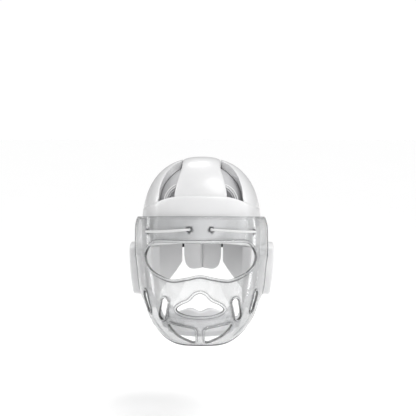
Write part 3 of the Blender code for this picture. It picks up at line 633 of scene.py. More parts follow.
def woven_material(name, colour, gap, pitch, slant, relief, sheen):
    return grouped_material(name, WEAVE, {
        "Colour": colour, "Gap Colour": gap, "Pitch": pitch, "Slant": slant, "Relief": relief,
    }, {"Roughness": 0.78, "Sheen Weight": sheen, "Specular IOR Level": 0.25})


def clear_material():
    """Clear moulded plastic: painted dark shade lines along its rims, milky at grazing angles, faintly
    clouded, greyed by painted shade towards the brow and streaked with painted reflections on the cheeks and
    jaw.

    It lets most light past for shadows, so that what lies behind it isn't darkened twice.
    """
    made, nodes, shader = new_material("Clear moulded plastic", {
        "Transmission Weight": 1.0, "IOR": 1.45, "Specular IOR Level": 0.7})
    place = nodes.place()
    rim = nodes.mark("rim")
    jaw_reflection = nodes.mark("jaw_reflection")
    grazing = nodes.add("ShaderNodeLayerWeight", {"Blend": 0.35}).outputs["Facing"]
    flow = nodes.noise(place, 9)
    swirl = nodes.noise(place, 26, 3, 1.5)
    drawn = nodes.add("ShaderNodeMapping", {"Scale": (70, 70, 7)}, {"Vector": place}).outputs[0]
    streak = nodes.noise(drawn, 1)
    height = nodes.add("ShaderNodeSeparateXYZ", (), {0: place}).outputs["Z"]
    haze = nodes.math("MULTIPLY_ADD", flow, 0.10, 0.56)
    haze = nodes.math("MULTIPLY_ADD", grazing, 0.30, haze)
    # painted reflection: haze and darker streaks on the cheeks and jaw
    haze = nodes.math("MULTIPLY_ADD", nodes.math("MULTIPLY", jaw_reflection, streak), 0.55, haze)
    clouding_and_painted_shade = nodes.math("MULTIPLY", jaw_reflection, nodes.math("MULTIPLY_ADD", streak, 1.9, -0.25))
    clouding_and_painted_shade = nodes.math("MULTIPLY_ADD", nodes.math("SUBTRACT", swirl, 0.42), 1.3, clouding_and_painted_shade)
    # painted shade: greyer towards the brow, a little lighter low down
    painted_brow_shade = nodes.clamp(nodes.math("MULTIPLY_ADD", height, 5.0, 0.88), -0.12, 0.34)
    clouding_and_painted_shade = nodes.math("ADD", clouding_and_painted_shade, painted_brow_shade)
    clouding_and_painted_shade = nodes.clamp(nodes.math("MULTIPLY_ADD", grazing, 0.6, clouding_and_painted_shade))
    clear = nodes.mix(clouding_and_painted_shade, (0.90, 0.905, 0.91, 1), (0.55, 0.56, 0.565, 1))
    # painted shade: near-black lines along the rims' edges and feet
    colour = nodes.mix(rim, clear, (0.06, 0.062, 0.065, 1))
    alpha = nodes.math("MINIMUM", nodes.math("ADD", rim, haze), 1.0)
    shadow = nodes.add("ShaderNodeLightPath").outputs["Is Shadow Ray"]
    alpha = nodes.math("MULTIPLY", alpha, nodes.math("MULTIPLY_ADD", shadow, -0.85, 1.0))
    rough = nodes.math("MULTIPLY_ADD", flow, 0.05, 0.02)
    for source, key in ((colour, "Base Color"), (alpha, "Alpha"), (rough, "Roughness")):
        made.node_tree.links.new(source, shader.inputs[key])
    return made


# Each foam's crease colour is the grey of its painted crease shade
FOAM = foam_material(
    "White dipped foam", (0.70, 0.70, 0.705, 1), (0.46, 0.46, 0.47, 1), 0.34, 0.10, 0.40)
# painted shade: a greyer copy of the white foam, so the liner in the recesses looks shaded
LINER_FOAM_PAINTED_SHADE = foam_material(
    "White liner foam", (0.50, 0.50, 0.51, 1), (0.40, 0.40, 0.41, 1), 0.50, 0.16, 0.0)
# painted shade: a greyer copy of the white foam for the chin cup behind the mask
CUP_FOAM = foam_material(
    "Shaded chin foam", (0.62, 0.62, 0.63, 1), (0.34, 0.34, 0.35, 1), 0.45, 0.12, 0.0)
MESH_PLASTIC = foam_material(
    "White vent plastic", (0.72, 0.72, 0.73, 1), (0.30, 0.30, 0.30, 1), 0.45, 0.05, 0.0)
STUD_PLASTIC = foam_material(
    "White stud plastic", (0.72, 0.73, 0.74, 1), (0.35, 0.35, 0.36, 1), 0.25, 0.03, 0.6)
WHITE_BRAID = woven_material(
    "White braided elastic", (0.86, 0.86, 0.86, 1), (0.50, 0.50, 0.51, 1), 0.0009, 0.6, 0.8, 0.2)
WHITE_WEB = woven_material(
    "White webbing", (0.80, 0.80, 0.81, 1), (0.42, 0.42, 0.43, 1), 0.0012, 0.0, 0.9, 0.2)
BLACK_WEB = woven_material(
    "Black woven elastic", (0.030, 0.030, 0.033, 1), (0.006, 0.006, 0.007, 1), 0.0011, 0.0, 0.9, 0.3)
CLEAR = clear_material()


# Modelling helpers
def deselect():
    if bpy.context.object is not None and bpy.context.object.mode != "OBJECT":
        bpy.ops.object.mode_set(mode="OBJECT")
    bpy.ops.object.select_all(action="DESELECT")


def named(name):
    piece = bpy.context.object
    piece.name = name
    piece.data.name = name
    return piece


def pick(piece):
    """Selects the piece alone and makes it the active one."""
    deselect()
    piece.select_set(True)
    bpy.context.view_layer.objects.active = piece


def apply_modifier(piece, kind, **settings):
    pick(piece)
    modifier = piece.modifiers.new(kind.lower(), kind)
    for key, value in settings.items():
        setattr(modifier, key, value)
    bpy.ops.object.modifier_apply(modifier=modifier.name)


def bevel(piece, width, segments, degrees):
    apply_modifier(piece, "BEVEL", width=width, segments=segments, limit_method="ANGLE",
                   angle_limit=math.radians(degrees))


def shade(piece, degrees):
    pick(piece)
    bpy.ops.object.shade_smooth_by_angle(angle=math.radians(degrees))


def soften(piece, radius, segments=3, degrees=50, levels=1):
    """Rounded edges, then smoothing subdivisions."""
    bevel(piece, radius, segments, degrees)
    if levels:
        apply_modifier(piece, "SUBSURF", levels=levels, render_levels=levels)
    pick(piece)
    bpy.ops.object.shade_smooth()


def face_outwards(piece):
    pick(piece)
    bm = bmesh.new()
    bm.from_mesh(piece.data)
    bmesh.ops.recalc_face_normals(bm, faces=bm.faces)
    if bm.calc_volume(signed=True) < 0:
        bmesh.ops.reverse_faces(bm, faces=bm.faces)
    bm.to_mesh(piece.data)
    bm.free()


def side_point(side, point):
    return Vector((side * point.x, point.y, point.z))


def slab(name, columns, rows, place, side=1, cloth=None):
    """A grid, extruded into a slab, whose points go where place(u, v, layer) says, mirrored for side -1.

    A woven band also keeps its length and width, as cloth, for its weave.
    """
    deselect()
    bpy.ops.mesh.primitive_grid_add(
        x_subdivisions=columns, y_subdivisions=rows, size=1, location=(0.5, 0.5, 0))
    piece = named(name)
    bpy.ops.object.transform_apply(location=True, rotation=False, scale=False)
    bpy.ops.object.mode_set(mode="EDIT")
    bpy.ops.mesh.select_all(action="SELECT")
    bpy.ops.mesh.extrude_region_move(TRANSFORM_OT_translate={"value": (0, 0, 1)})
    bpy.ops.object.mode_set(mode="OBJECT")
    spots = [tuple(vertex.co) for vertex in piece.data.vertices]
    if cloth is not None:
        layer = piece.data.attributes.new("cloth", "FLOAT_VECTOR", "POINT")
        for index, (u, v, w) in enumerate(spots):
            layer.data[index].vector = (u * cloth[0], v * cloth[1], w)
    for vertex, (u, v, w) in zip(piece.data.vertices, spots):
        vertex.co = side_point(side, place(u, v, w))
    face_outwards(piece)
    return piece


def mark_edges(piece):
    """Writes where the surface turns sharply: outwards for the foam's painted edge highlights, inwards for
    its painted crease shade.
    """
    reach = 0.0016
    edge_gain = 2.2
    crease_gain = 2.0
    crease_most = 0.8
    mesh = piece.data
    count = len(mesh.vertices)
    ends = np.empty(len(mesh.edges) * 2, dtype=np.int64)
    mesh.edges.foreach_get("vertices", ends)
    ends = ends.reshape(-1, 2)
    normals, places = np.empty((2, count * 3))
    mesh.vertex_normals.foreach_get("vector", normals)
    mesh.vertices.foreach_get("co", places)
    normals = normals.reshape(-1, 3)
    places = places.reshape(-1, 3)
    way = places[ends[:, 1]] - places[ends[:, 0]]
    size = np.maximum(np.linalg.norm(way, axis=1), 1e-6)
    bend = np.einsum("ij,ij->i", normals[ends[:, 1]] - normals[ends[:, 0]], way) / size ** 2 * reach
    total = np.zeros(count)
    share = np.zeros(count)
    for column in (0, 1):
        np.add.at(total, ends[:, column], bend)
        np.add.at(share, ends[:, column], 1)
    bend = total / np.maximum(share, 1)
    for name, values in (("edge", np.clip(bend * edge_gain, 0, 1)),
                         ("crease", np.clip(-bend * crease_gain, 0, crease_most))):
        layer = mesh.attributes.new(name, "FLOAT", "POINT")
        layer.data.foreach_set("value", values.astype(np.float32))


def finish(piece, look, nodes=(), edges=True):
    piece.data.materials.clear()
    piece.data.materials.append(look)
    if edges:
        mark_edges(piece)
    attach(piece, "root")
    if nodes:
        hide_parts(*nodes)


def piece_of(name, bm):
    mesh = bpy.data.meshes.new(name)
    bm.to_mesh(mesh)
    bm.free()
    piece = bpy.data.objects.new(name, mesh)
    bpy.context.scene.collection.objects.link(piece)
    face_outwards(piece)
    return piece


def tube(name, points, radius, sides):
    """Round cord along the points, with its own 'cloth' attribute in metres."""
    bm = bmesh.new()
    cloth = bm.verts.layers.float_vector.new("cloth")
    rings = []
    run = 0.0
    up = (points[1] - points[0]).orthogonal().normalized()
    for index, point in enumerate(points):
        before = points[max(index - 1, 0)]
        after = points[min(index + 1, len(points) - 1)]
        way = (after - before).normalized()
        up = (up - way * up.dot(way)).normalized()
        side = way.cross(up)
        run += (point - before).length
        ring = []
        for step in range(sides):
            angle = 2 * math.pi * step / sides
            vertex = bm.verts.new(point + (up * math.cos(angle) + side * math.sin(angle)) * radius)
            vertex[cloth] = (run, abs(step - sides / 2) / sides * 2 * math.pi * radius, 0)
            ring.append(vertex)
        rings.append(ring)
    for low, high in zip(rings, rings[1:]):
        for step in range(sides):
            beside = (step + 1) % sides
            bm.faces.new((low[step], low[beside], high[beside], high[step]))
    bm.faces.new(rings[0])
    bm.faces.new(rings[-1])
    piece = piece_of(name, bm)
    piece.data.shade_smooth()
    return piece


def ring(radius, thickness, at, axis, around, sides):
    deselect()
    bpy.ops.mesh.primitive_torus_add(
        major_segments=around, minor_segments=sides, major_radius=radius, minor_radius=thickness,
        location=at, rotation=axis.to_track_quat("Z", "Y").to_euler())
    bpy.ops.object.transform_apply(location=True, rotation=True, scale=False)
    return bpy.context.object


def join(*pieces):
    deselect()
    for piece in pieces:
        piece.select_set(True)
    bpy.context.view_layer.objects.active = pieces[0]
    bpy.ops.object.join()


def cylinder(radius, depth, at, axis, sides):
    deselect()
    bpy.ops.mesh.primitive_cylinder_add(
        vertices=sides, radius=radius, depth=depth, location=at,
        rotation=axis.to_track_quat("Z", "Y").to_euler())
    bpy.ops.object.transform_apply(location=True, rotation=True, scale=False)
    return bpy.context.object


def cut_with(piece, cutter):
    apply_modifier(piece, "BOOLEAN", operation="DIFFERENCE", solver="EXACT", object=cutter)
    bpy.data.objects.remove(cutter, do_unlink=True)


def ear_hole_cutter(side):
    deselect()
    bpy.ops.mesh.primitive_cylinder_add(vertices=40, radius=EAR_HOLE_HALF_WIDTH, depth=0.12,
                                        location=(side * HEAD_BREADTH / 2, GUARD_MID_Y, -EAR_HOLE_DROP),
                                        rotation=(0, math.pi / 2, 0))
    piece = bpy.context.object
    bpy.ops.object.transform_apply(location=True, rotation=True, scale=False)
    straight = EAR_HOLE_HALF_HEIGHT - EAR_HOLE_HALF_WIDTH
    for vertex in piece.data.vertices:
        vertex.co.z += straight if vertex.co.z > -EAR_HOLE_DROP else -straight
    return piece


# Foam pieces
def crown_of(u, v, height):
    """A soft swell over a pad, which dies out towards its edges."""
    return height * (1 - (2 * u - 1) ** 4) * (1 - (2 * v - 1) ** 4)


def make_liner():
    """The dome: an open ball, doubled into a wall and laid on the head form."""
    deselect()
    rings = 54
    wall_share = math.radians(20)
    bpy.ops.mesh.primitive_uv_sphere_add(segments=88, ring_count=rings, radius=1)
    liner = named("liner_shell")
    row = math.pi / rings
    keep = -wall_share - row / 2
    bpy.ops.object.mode_set(mode="EDIT")
    bpy.ops.mesh.select_all(action="DESELECT")
    bpy.ops.object.mode_set(mode="OBJECT")
    for vertex in liner.data.vertices:
        vertex.select = math.asin(max(min(vertex.co.z, 1), -1)) < keep
    bpy.ops.object.mode_set(mode="EDIT")
    bpy.ops.mesh.delete(type="VERT")
    bpy.ops.mesh.select_all(action="SELECT")
    bpy.ops.mesh.extrude_region_move(TRANSFORM_OT_translate={"value": (0, 0, 0)})
    bpy.ops.object.mode_set(mode="OBJECT")
    for vertex in liner.data.vertices:
        out = LINER_WALL if vertex.select else 0.0
        azimuth = math.atan2(vertex.co.x, -vertex.co.y)
        rise = math.asin(max(min(vertex.co.z, 1), -1))
        if rise < 0:
            rise *= -rise_at(azimuth, lower_edge(azimuth), out) / wall_share
        vertex.co = form_point(azimuth, rise, out)
    face_outwards(liner)
    bevel(liner, LINER_ROUND, 3, 60)
    reach = LINER_WALL * 4
    for side, _ in SIDES:
        centre, normal = vent_place(side)
        above_floor = centre + normal * (VENT_FLOOR + reach / 2)
        cut_with(liner, cylinder(VENT_RING_R, reach, above_floor, normal, 72))
        cut_with(liner, cylinder(VENT_HOLE_R, reach, centre, normal, 72))
    bevel(liner, VENT_ROUND, 2, 50)
    shade(liner, 40)
    finish(liner, LINER_FOAM_PAINTED_SHADE, ("head_liner",), edges=False)


def make_vents():
    """A moulded collar of two rings and a fine net over each vent."""
    for side, tag in SIDES:
        centre, normal = vent_place(side)
        collar = [ring(radius, thickness, centre + normal * lift, normal, 72, 10)
                  for radius, thickness, lift in VENT_COLLAR]
        join(*collar)
        bpy.ops.object.shade_smooth()
        finish(named("vent_collar_" + tag), FOAM)

        middle = centre + normal * NET_LIFT
        deselect()
        bpy.ops.mesh.primitive_grid_add(x_subdivisions=20, y_subdivisions=20, size=NET_WIDTH)
        net = named("vent_net_" + tag)
        for vertex in net.data.vertices:
            vertex.select = vertex.co.xy.length > VENT_HOLE_R - 0.0006
        bpy.ops.object.mode_set(mode="EDIT")
        bpy.ops.mesh.delete(type="VERT")
        bpy.ops.object.mode_set(mode="OBJECT")
        spin = Matrix.Rotation(math.radians(45), 4, "Z")
        turn = normal.to_track_quat("Z", "Y").to_matrix().to_4x4()
        net.data.transform(Matrix.Translation(middle) @ turn @ spin)
        apply_modifier(net, "WIREFRAME", thickness=NET_STRAND, use_even_offset=False, use_replace=True)
        join(net, ring(VENT_HOLE_R - HOOP_INSET, HOOP_THICKNESS, middle, normal, 64, 8))
        finish(net, MESH_PLASTIC, ("vent_grille_" + tag,), edges=False)


def make_band():
    def place(u, v, layer):
        end = math.radians(blend(BAND_END_LOW, BAND_END_TOP, v))
        azimuth = (2 * u - 1) * end
        z = blend(lower_edge(azimuth), band_top(azimuth), v)
        return wall_point(azimuth, z, blend(PAD_SEAT, BAND_OUT, layer))

    band = slab("padded_forehead_band", 40, 8, place)
    bevel(band, BAND_ROUND, 3, 50)
    for side, _ in SIDES:
        for point, normal in lace_spots(side):
            bore = cylinder(BRAID_R + GAP, 2 * BORE_DEPTH, band_face(point, normal), normal, 16)
            cut_with(band, bore)
    shade(band, 50)
    finish(band, FOAM, ("forehead_band",))


def make_crown_strip():
    back = math.pi + (EAR_DROP - CROWN_HEIGHT) / CROWN_HEIGHT

    def place(u, v, layer):
        out = blend(PAD_SEAT, PAD_OUT + crown_of(u, v, STRIP_SWELL), layer)
        front = strip_front((2 * u - 1) * STRIP_HALF_FRONT, out)
        pitch = blend(front, back, v)
        return strip_point((2 * u - 1) * strip_half(pitch), pitch, out)

    strip = slab("padded_crown_strip", 9, 44, place)
    soften(strip, STRIP_ROUND)
    finish(strip, FOAM, ("crown_strip",))


def make_side_pads():
    """Each pad's first columns follow the recess, and the others fan out from the band's end to the strip."""
    lead = 10
    over = 22
    top_end = 4
    low_end = 6
    corner = math.radians(150)
    total = lead + over
    first, last = RECESS_EDGE[0][0], RECESS_EDGE[-1][0]
    ends = [math.radians(degrees + PAD_END_GAP)
            for degrees in (BAND_END_TOP - 12, BAND_END_TOP, BAND_END_LOW)]

    def low_z(azimuth):
        share = (math.degrees(azimuth) - BAND_END_TOP - PAD_END_GAP) / (BAND_END_LOW - BAND_END_TOP)
        return blend(band_top(azimuth) - PAD_TUCK, lower_edge(azimuth), min(max(share, 0.0), 1.0))

    def place(u, v, layer):
        column = round(u * total) - lead
        out = blend(PAD_SEAT, PAD_OUT + crown_of(u, v, SIDE_PAD_SWELL), layer)
        if column < 0:
            share = (column + lead) / lead
            degrees = blend(first, last, share)
            undercut = PAD_UNDERCUT * smooth_step((0.8 - share) / 0.5)
            azimuth = math.radians(degrees + undercut * (1 - layer))
            drop = read_curve(RECESS_EDGE, degrees) * BAND_TOP_DROP
            low = rise_at(azimuth, low_z(azimuth), out)
            high = rise_at(azimuth, -drop, PAD_OUT)
            return form_point(azimuth, blend(low, high, v), out)
        rear = strip_edge_azimuth(-0.1, out)
        if column <= top_end:
            base = blend(ends[0], ends[1], column / top_end)
        elif column <= low_end:
            base = blend(ends[1], ends[2], (column - top_end) / (low_end - top_end))
        else:
            base = blend(ends[2], rear, (column - low_end) / (over - low_end))
        crest = blend(ends[0], corner, column / over)
        low = rise_at(base, low_z(base), out)
        high = strip_edge_rise(crest, out)
        rise = blend(low, high, v)
        azimuth = blend(base, crest, v)
        if column == over:
            azimuth = strip_edge_azimuth(rise, out)
        return form_point(azimuth, rise, out)

    for side, tag in SIDES:
        pad = slab("padded_side_" + tag, total, 22, place, side)
        soften(pad, SIDE_PAD_ROUND, 4)
        finish(pad, FOAM, ("side_pad_" + tag,))


def make_flaps():
    def place(u, v, layer):
        degrees = blend(FLAP_FRONT, FLAP_REAR, u)
        azimuth = math.radians(degrees)
        top = lower_edge(azimuth) - 2 * GAP
        bottom = -EAR_DROP - read_curve(FLAP_EDGE, degrees) * (FLAP_DROP - EAR_DROP)
        z = blend(bottom, top, v)
        return wall_point(azimuth, z, layer * flap_out(z))

    for side, tag in SIDES:
        flap = slab("padded_flap_" + tag, 30, 16, place, side)
        soften(flap, FLAP_ROUND)
        cut_with(flap, ear_hole_cutter(side))
        shade(flap, 45)
        finish(flap, FOAM, ("ear_flap_" + tag,))


def make_guards():
    def place(u, v, layer):
        across = 2 * u - 1
        up = 2 * v - 1
        y = GUARD_MID_Y + GUARD_HALF_LENGTH * across * math.sqrt(1 - GUARD_SQUARENESS * up * up / 2)
        share = (1 - up * math.sqrt(1 - GUARD_SQUARENESS * across * across / 2)) / 2
        z = -GUARD_DROP - GUARD_HEIGHT * share
        seat_x = form_side(y, flap_out(z) + GAP + 0.0004)
        face = GUARD_FACE_X - GUARD_LEAN * share * share + crown_of(u, v, GUARD_SWELL)
        well = math.hypot(y - GUARD_MID_Y, (z + EAR_HOLE_DROP) * EAR_WELL_SQUEEZE)
        face -= EAR_WELL_DEPTH * smooth_step((EAR_WELL_R - well) / EAR_WELL_SLOPE)
        return Vector((blend(seat_x, face, layer), y, z))

    for side, tag in SIDES:
        guard = slab("padded_guard_" + tag, 22, 26, place, side)
        soften(guard, GUARD_ROUND, degrees=60)
        cut_with(guard, ear_hole_cutter(side))
        shade(guard, 45)
        finish(guard, FOAM, ("ear_guard_" + tag,))


def make_nape_pad():
    half = [0.02, 0.05, 0.09, 0.15, 0.24, 0.35, 0.46, 0.57, 0.68, 0.78, 0.87, 0.94, 1.0]
    marks = [-mark for mark in reversed(half)] + [0.0] + half

    def place(u, v, layer):
        mark = marks[round(u * (len(marks) - 1))]
        lobe = 2 * abs(mark) - 1
        rise = NAPE_CORNER * (1 - math.sqrt(1 - lobe * lobe)) if lobe > 0 else NAPE_NOTCH * lobe * lobe
        top = -EAR_DROP - 2 * GAP
        z = blend(-NAPE_DROP + rise, top, v)
        groove = NAPE_GROOVE * math.exp(-(mark / 0.045) ** 2)
        swell = NAPE_SWELL * (1 - lobe * lobe) * (1 - (2 * v - 1) ** 4)
        out = blend(groove - swell, PAD_OUT - groove + swell, layer)
        _, b, _ = form_axes(out)
        spread = mark * (NAPE_HALF_WIDTH + layer * GAP)
        return wall_point(math.pi - math.atan2(spread, b), z, out)

    pad = slab("padded_nape", len(marks) - 1, 12, place)
    soften(pad, NAPE_ROUND)
    finish(pad, FOAM, ("nape_pad",))


def cup_face(angle, share, out):
    tuck = CUP_TUCK * (1 - share) ** 2
    return Vector((
        (CUP_HALF_WIDTH + out) * math.sin(angle),
        CUP_DEPTH - CUP_FRONT - (CUP_DEPTH + out) * math.cos(angle) + tuck, 0))


def make_chin_cup():
    height = CUP_LOW_DROP - CUP_TOP_DROP

    def place(u, v, layer):
        spread = 2 * u - 1
        angle = math.radians(CUP_SPREAD) * spread
        point = cup_face(angle, v, -CUP_WALL * (1 - layer))
        top = -CUP_TOP_DROP - read_curve(CUP_EDGE, abs(spread)) * height
        point.z = blend(-CUP_LOW_DROP, top, v)
        return point

    cup = slab("padded_chin_cup", 36, 9, place)
    soften(cup, CUP_ROUND)
    finish(cup, CUP_FOAM, ("chin_cup",))


# Straps
def make_back_strap():
    reach = math.radians(BACK_STRAP_REACH)
    length = 2 * reach * (HEAD_LENGTH / 2 + PAD_OUT)

    def place(u, v, layer):
        azimuth = math.pi + (2 * u - 1) * reach
        z = -BACK_STRAP_DROP - BACK_STRAP_WIDTH * (1 - v)
        inner = PAD_OUT + GAP + 0.0012
        return wall_point(azimuth, z, inner + layer * BACK_STRAP_WALL)

    strap = slab("back_elastic", 60, 6, place, cloth=(length, BACK_STRAP_WIDTH))
    soften(strap, WEB_ROUND, 2, levels=0)
    finish(strap, BLACK_WEB, ("back_strap",), edges=False)


def strap_route(share):
    """Middle of the chin strap's inner face on the right: share 0 is the front, 1 the end."""
    cup_share = 0.5
    flap_share = 0.65
    height = (CUP_LOW_DROP - STRAP_FRONT_DROP) / (CUP_LOW_DROP - CUP_TOP_DROP)
    on_cup = cup_face(math.radians(CUP_SPREAD) * min(share / cup_share, 1), height, GAP + CUP_TUCK / 4)
    on_cup.z = -STRAP_FRONT_DROP
    first = math.radians(FLAP_FRONT - 2)
    part = max((share - flap_share) / (1 - flap_share), 0)
    azimuth = blend(first, math.radians(STRAP_END_AZIMUTH), part)
    out = flap_out(-STRAP_END_DROP + STRAP_WIDTH / 2) + GAP + 0.0005
    on_flap = wall_point(azimuth, -STRAP_END_DROP, out)
    return on_cup.lerp(on_flap, smooth_step((share - cup_share) / (flap_share - cup_share)))


def make_chin_strap():
    def place(u, v, layer):
        share = abs(2 * u - 1)
        side = 1 if u >= 0.5 else -1
        ahead = strap_route(min(share + 0.01, 1)) - strap_route(max(share - 0.01, 0))
        if share < 0.01:
            ahead = Vector((1, 0, 0))
        level = Vector((ahead.y, -ahead.x, 0)).normalized()
        point = strap_route(share) + level * STRAP_WALL * layer + Vector((0, 0, (v - 0.5) * STRAP_WIDTH))
        return side_point(side, point)

    strap = slab("chin_webbing", 96, 5, place, cloth=(STRAP_CLOTH, STRAP_WIDTH))
    soften(strap, WEB_ROUND, 2, levels=0)
    finish(strap, WHITE_WEB, ("chin_strap",), edges=False)


# The clear mask
def smooth_loop(points, steps):
    count = len(points)
    made = []
    for index in range(count):
        near = [Vector(points[(index + shift) % count]) for shift in (-1, 0, 1, 2)]
        made += [catmull(*near, step / steps) for step in range(steps)]
    return made


def spaced(points, gap):
    """The closed curve again, as points an even distance apart."""
    closed = list(points) + [points[0]]
    runs = [0.0]
    for low, high in zip(closed, closed[1:]):
        runs.append(runs[-1] + (high - low).length)
    count = max(int(runs[-1] / gap), 12)
    made = []
    index = 0
    for step in range(count):
        goal = runs[-1] * step / count
        while runs[index + 1] < goal:
            index += 1
        share = (goal - runs[index]) / max(runs[index + 1] - runs[index], 1e-9)
        made.append(closed[index].lerp(closed[index + 1], share))
    return made


def mirrored(half):
    return list(half) + [(-x, z) for x, z in reversed(half[1:-1])]


def circle(radius, count=24):
    turns = [2 * math.pi * k / count for k in range(count)]
    return [(radius * math.cos(turn), radius * math.sin(turn)) for turn in turns]


def stadium(half_width, length, lean):
    """Round-ended slot, whose upper and lower ends are shifted apart by its lean."""
    steps = 9
    outline = []
    straight = length / 2 - half_width
    for index in range(2 * steps):
        turn = math.pi - index * math.pi / (steps - 0.5)
        end = 1 if index < steps else -1
        x = half_width * math.cos(turn) - end * lean / 2
        outline.append((x, half_width * math.sin(turn) + end * straight))
    return outline


class FlatMask:
    """The mask's outer face laid flat, close to its true lengths, so that rims keep their widths."""

    def __init__(self, turns=120, rows=96):
        self.turns = np.linspace(-1, 1, turns + 1)
        last = len(MASK_SECTIONS) - 1
        self.rows = np.linspace(0, last - 1e-6, rows + 1)
        grid = [[mask_point(turn, row) for turn in self.turns] for row in self.rows]
        places = np.array([[tuple(point) for point in line] for line in grid])
        step = np.linalg.norm(np.diff(places, axis=1), axis=2)
        across = np.concatenate([np.zeros((rows + 1, 1)), np.cumsum(step, axis=1)], axis=1)
        self.across = across - across[:, [turns // 2]]
        middle = places[:, turns // 2]
        self.down = np.concatenate([[0.0], np.cumsum(np.linalg.norm(np.diff(middle, axis=0), axis=1))])
        self.places = places.reshape(-1, 3)
        self.wide = turns + 1
        self.faces = []
        for j in range(rows):
            for i in range(turns):
                low = j * self.wide + i
                high = low + self.wide
                self.faces += [(low, low + 1, high + 1), (low, high + 1, high)]
        self.tree = BVHTree.FromPolygons([Vector(place) for place in self.places], self.faces)

    def line_at(self, row):
        """How far each turn lies from the middle, along this row."""
        spot = float(np.interp(row, self.rows, np.arange(len(self.rows))))
        low = min(int(spot), len(self.rows) - 2)
        return self.across[low] + (self.across[low + 1] - self.across[low]) * (spot - low)

    def flat_of(self, turn, row):
        across = np.interp(turn, self.turns, self.line_at(row))
        return Vector((float(across), float(np.interp(row, self.rows, self.down))))

    def cast(self, start, way):
        """Flat place where a ray first meets the mask's outer face."""
        hit, _, face, _ = self.tree.ray_cast(start, way)
        if hit is None:
            return None
        corners = [Vector(self.places[index]) for index in self.faces[face]]
        area = (corners[1] - corners[0]).cross(corners[2] - corners[0])
        shares = []
        for k in range(3):
            one, two = corners[(k + 1) % 3], corners[(k + 2) % 3]
            shares.append((one - hit).cross(two - hit).dot(area) / area.dot(area))
        weights = list(zip(self.faces[face], shares))
        turn = sum(self.turns[index % self.wide] * share for index, share in weights)
        row = sum(self.rows[index // self.wide] * share for index, share in weights)
        return self.flat_of(turn, row)

    def solid_of(self, flat):
        """Turn and row of a flat place."""
        row = float(np.interp(flat[1], self.down, self.rows))
        return float(np.interp(flat[0], self.line_at(row), self.turns)), row


def mask_loops(flat):
    """Each opening as an even loop on the laid-out mask, with its rim's width and rise."""
    loops = []

    def push(outline, at, azimuth, rim):
        width, rise, gap = rim
        side = Vector((math.cos(azimuth), math.sin(azimuth), 0))
        way = Vector((math.sin(azimuth), -math.cos(azimuth), 0))
        spots = [flat.cast(at + side * u + Vector((0, 0, w)) + way * 0.3, -way) for u, w in outline]
        loops.append((spaced([spot for spot in spots if spot is not None], gap), width, rise))

    eye = mirrored([(x * EYE_HALF_WIDTH, -z * EYE_HEIGHT) for x, z in EYE_OUTLINE])
    push(smooth_loop(eye, 6), Vector((0, 0, -EYE_TOP_DROP)), 0, EYE_RIM)
    bell = mirrored([(x * BELL_HALF_WIDTH, -z * BELL_HEIGHT) for x, z in BELL_OUTLINE])
    push(smooth_loop(bell, 6), Vector((0, 0, -BELL_TOP_DROP)), 0, BELL_RIM)
    chin = smooth_loop([(CHIN_OPENING_SIDE + x * CHIN_OPENING_WIDTH, -z * CHIN_OPENING_HEIGHT)
                        for x, z in CHIN_OUTLINE], 5)
    for side, _ in SIDES:
        push([(side * u, w) for u, w in chin], Vector((0, 0, -CHIN_OPENING_DROP)), 0, CHIN_RIM)
        for x, drop, degrees, lean in (
                (NEAR_SLOT_X, NEAR_SLOT_DROP, NEAR_SLOT_AZIMUTH, SLOT_LEAN),
                (FAR_SLOT_X, FAR_SLOT_DROP, FAR_SLOT_AZIMUTH, -SLOT_LEAN)):
            at, _ = mask_at(side * x, -drop)
            slot = stadium(SLOT_HALF_WIDTH, SLOT_LENGTH, side * lean)
            push(slot, at, side * math.radians(degrees), SLOT_RIM)
        for point, normal in lace_spots(side):
            push(circle(LACE_HOLE_R), point, math.atan2(normal.x, -normal.y), LACE_RIM)
        stud = Vector((side * stud_mask_x(), STUD_Y, -STUD_DROP))
        push(circle(STUD_SHANK_R + GAP), stud, side * math.pi / 2, STUD_RIM)
    return loops


def loop_distance(spots, loop):
    """Distance of each flat place from a closed loop, and whether it lies inside."""
    ring = np.array([tuple(point) for point in loop])
    after = np.roll(ring, -1, axis=0)
    way = after - ring
    rel = spots[:, None, :] - ring[None]
    share = np.clip((rel * way[None]).sum(2) / np.maximum((way ** 2).sum(1), 1e-15), 0, 1)
    near = np.linalg.norm(rel - share[..., None] * way[None], axis=2).min(1)
    above = (ring[None, :, 1] > spots[:, None, 1]) != (after[None, :, 1] > spots[:, None, 1])
    rise = after[:, 1] - ring[:, 1]
    slope = way[None, :, 0] / np.where(rise == 0, 1e-15, rise)
    cross = ring[None, :, 0] + (spots[:, None, 1] - ring[None, :, 1]) * slope
    inside = (above & (spots[:, None, 0] < cross)).sum(1) % 2 == 1
    return near, inside


def offset_loop(loop, distance):
    """The loop again, moved outwards by the distance."""
    after = loop[1:] + loop[:1]
    before = loop[-1:] + loop[:-1]
    area = sum(point.x * ahead.y - ahead.x * point.y for point, ahead in zip(loop, after))
    sign = 1 if area > 0 else -1
    made = []
    for behind, point, ahead in zip(before, loop, after):
        way = (ahead - behind).normalized()
        made.append(point + Vector((way.y, -way.x)) * sign * distance)
    return made


def rim_profile(distance, width):
    """Height share of a raised rim: rounded at the hole, flat, and falling to the sheet at its foot."""
    start = 0.55
    round_off = 0.0007
    foot_share = 0.34
    arc = np.sqrt(np.clip(1 - (1 - np.clip(distance / round_off, 0, 1)) ** 2, 0, 1))
    fall = np.clip((width - distance) / (foot_share * width), 0, 1)
    return blend(start, 1.0, arc) * fall * fall * (3 - 2 * fall)


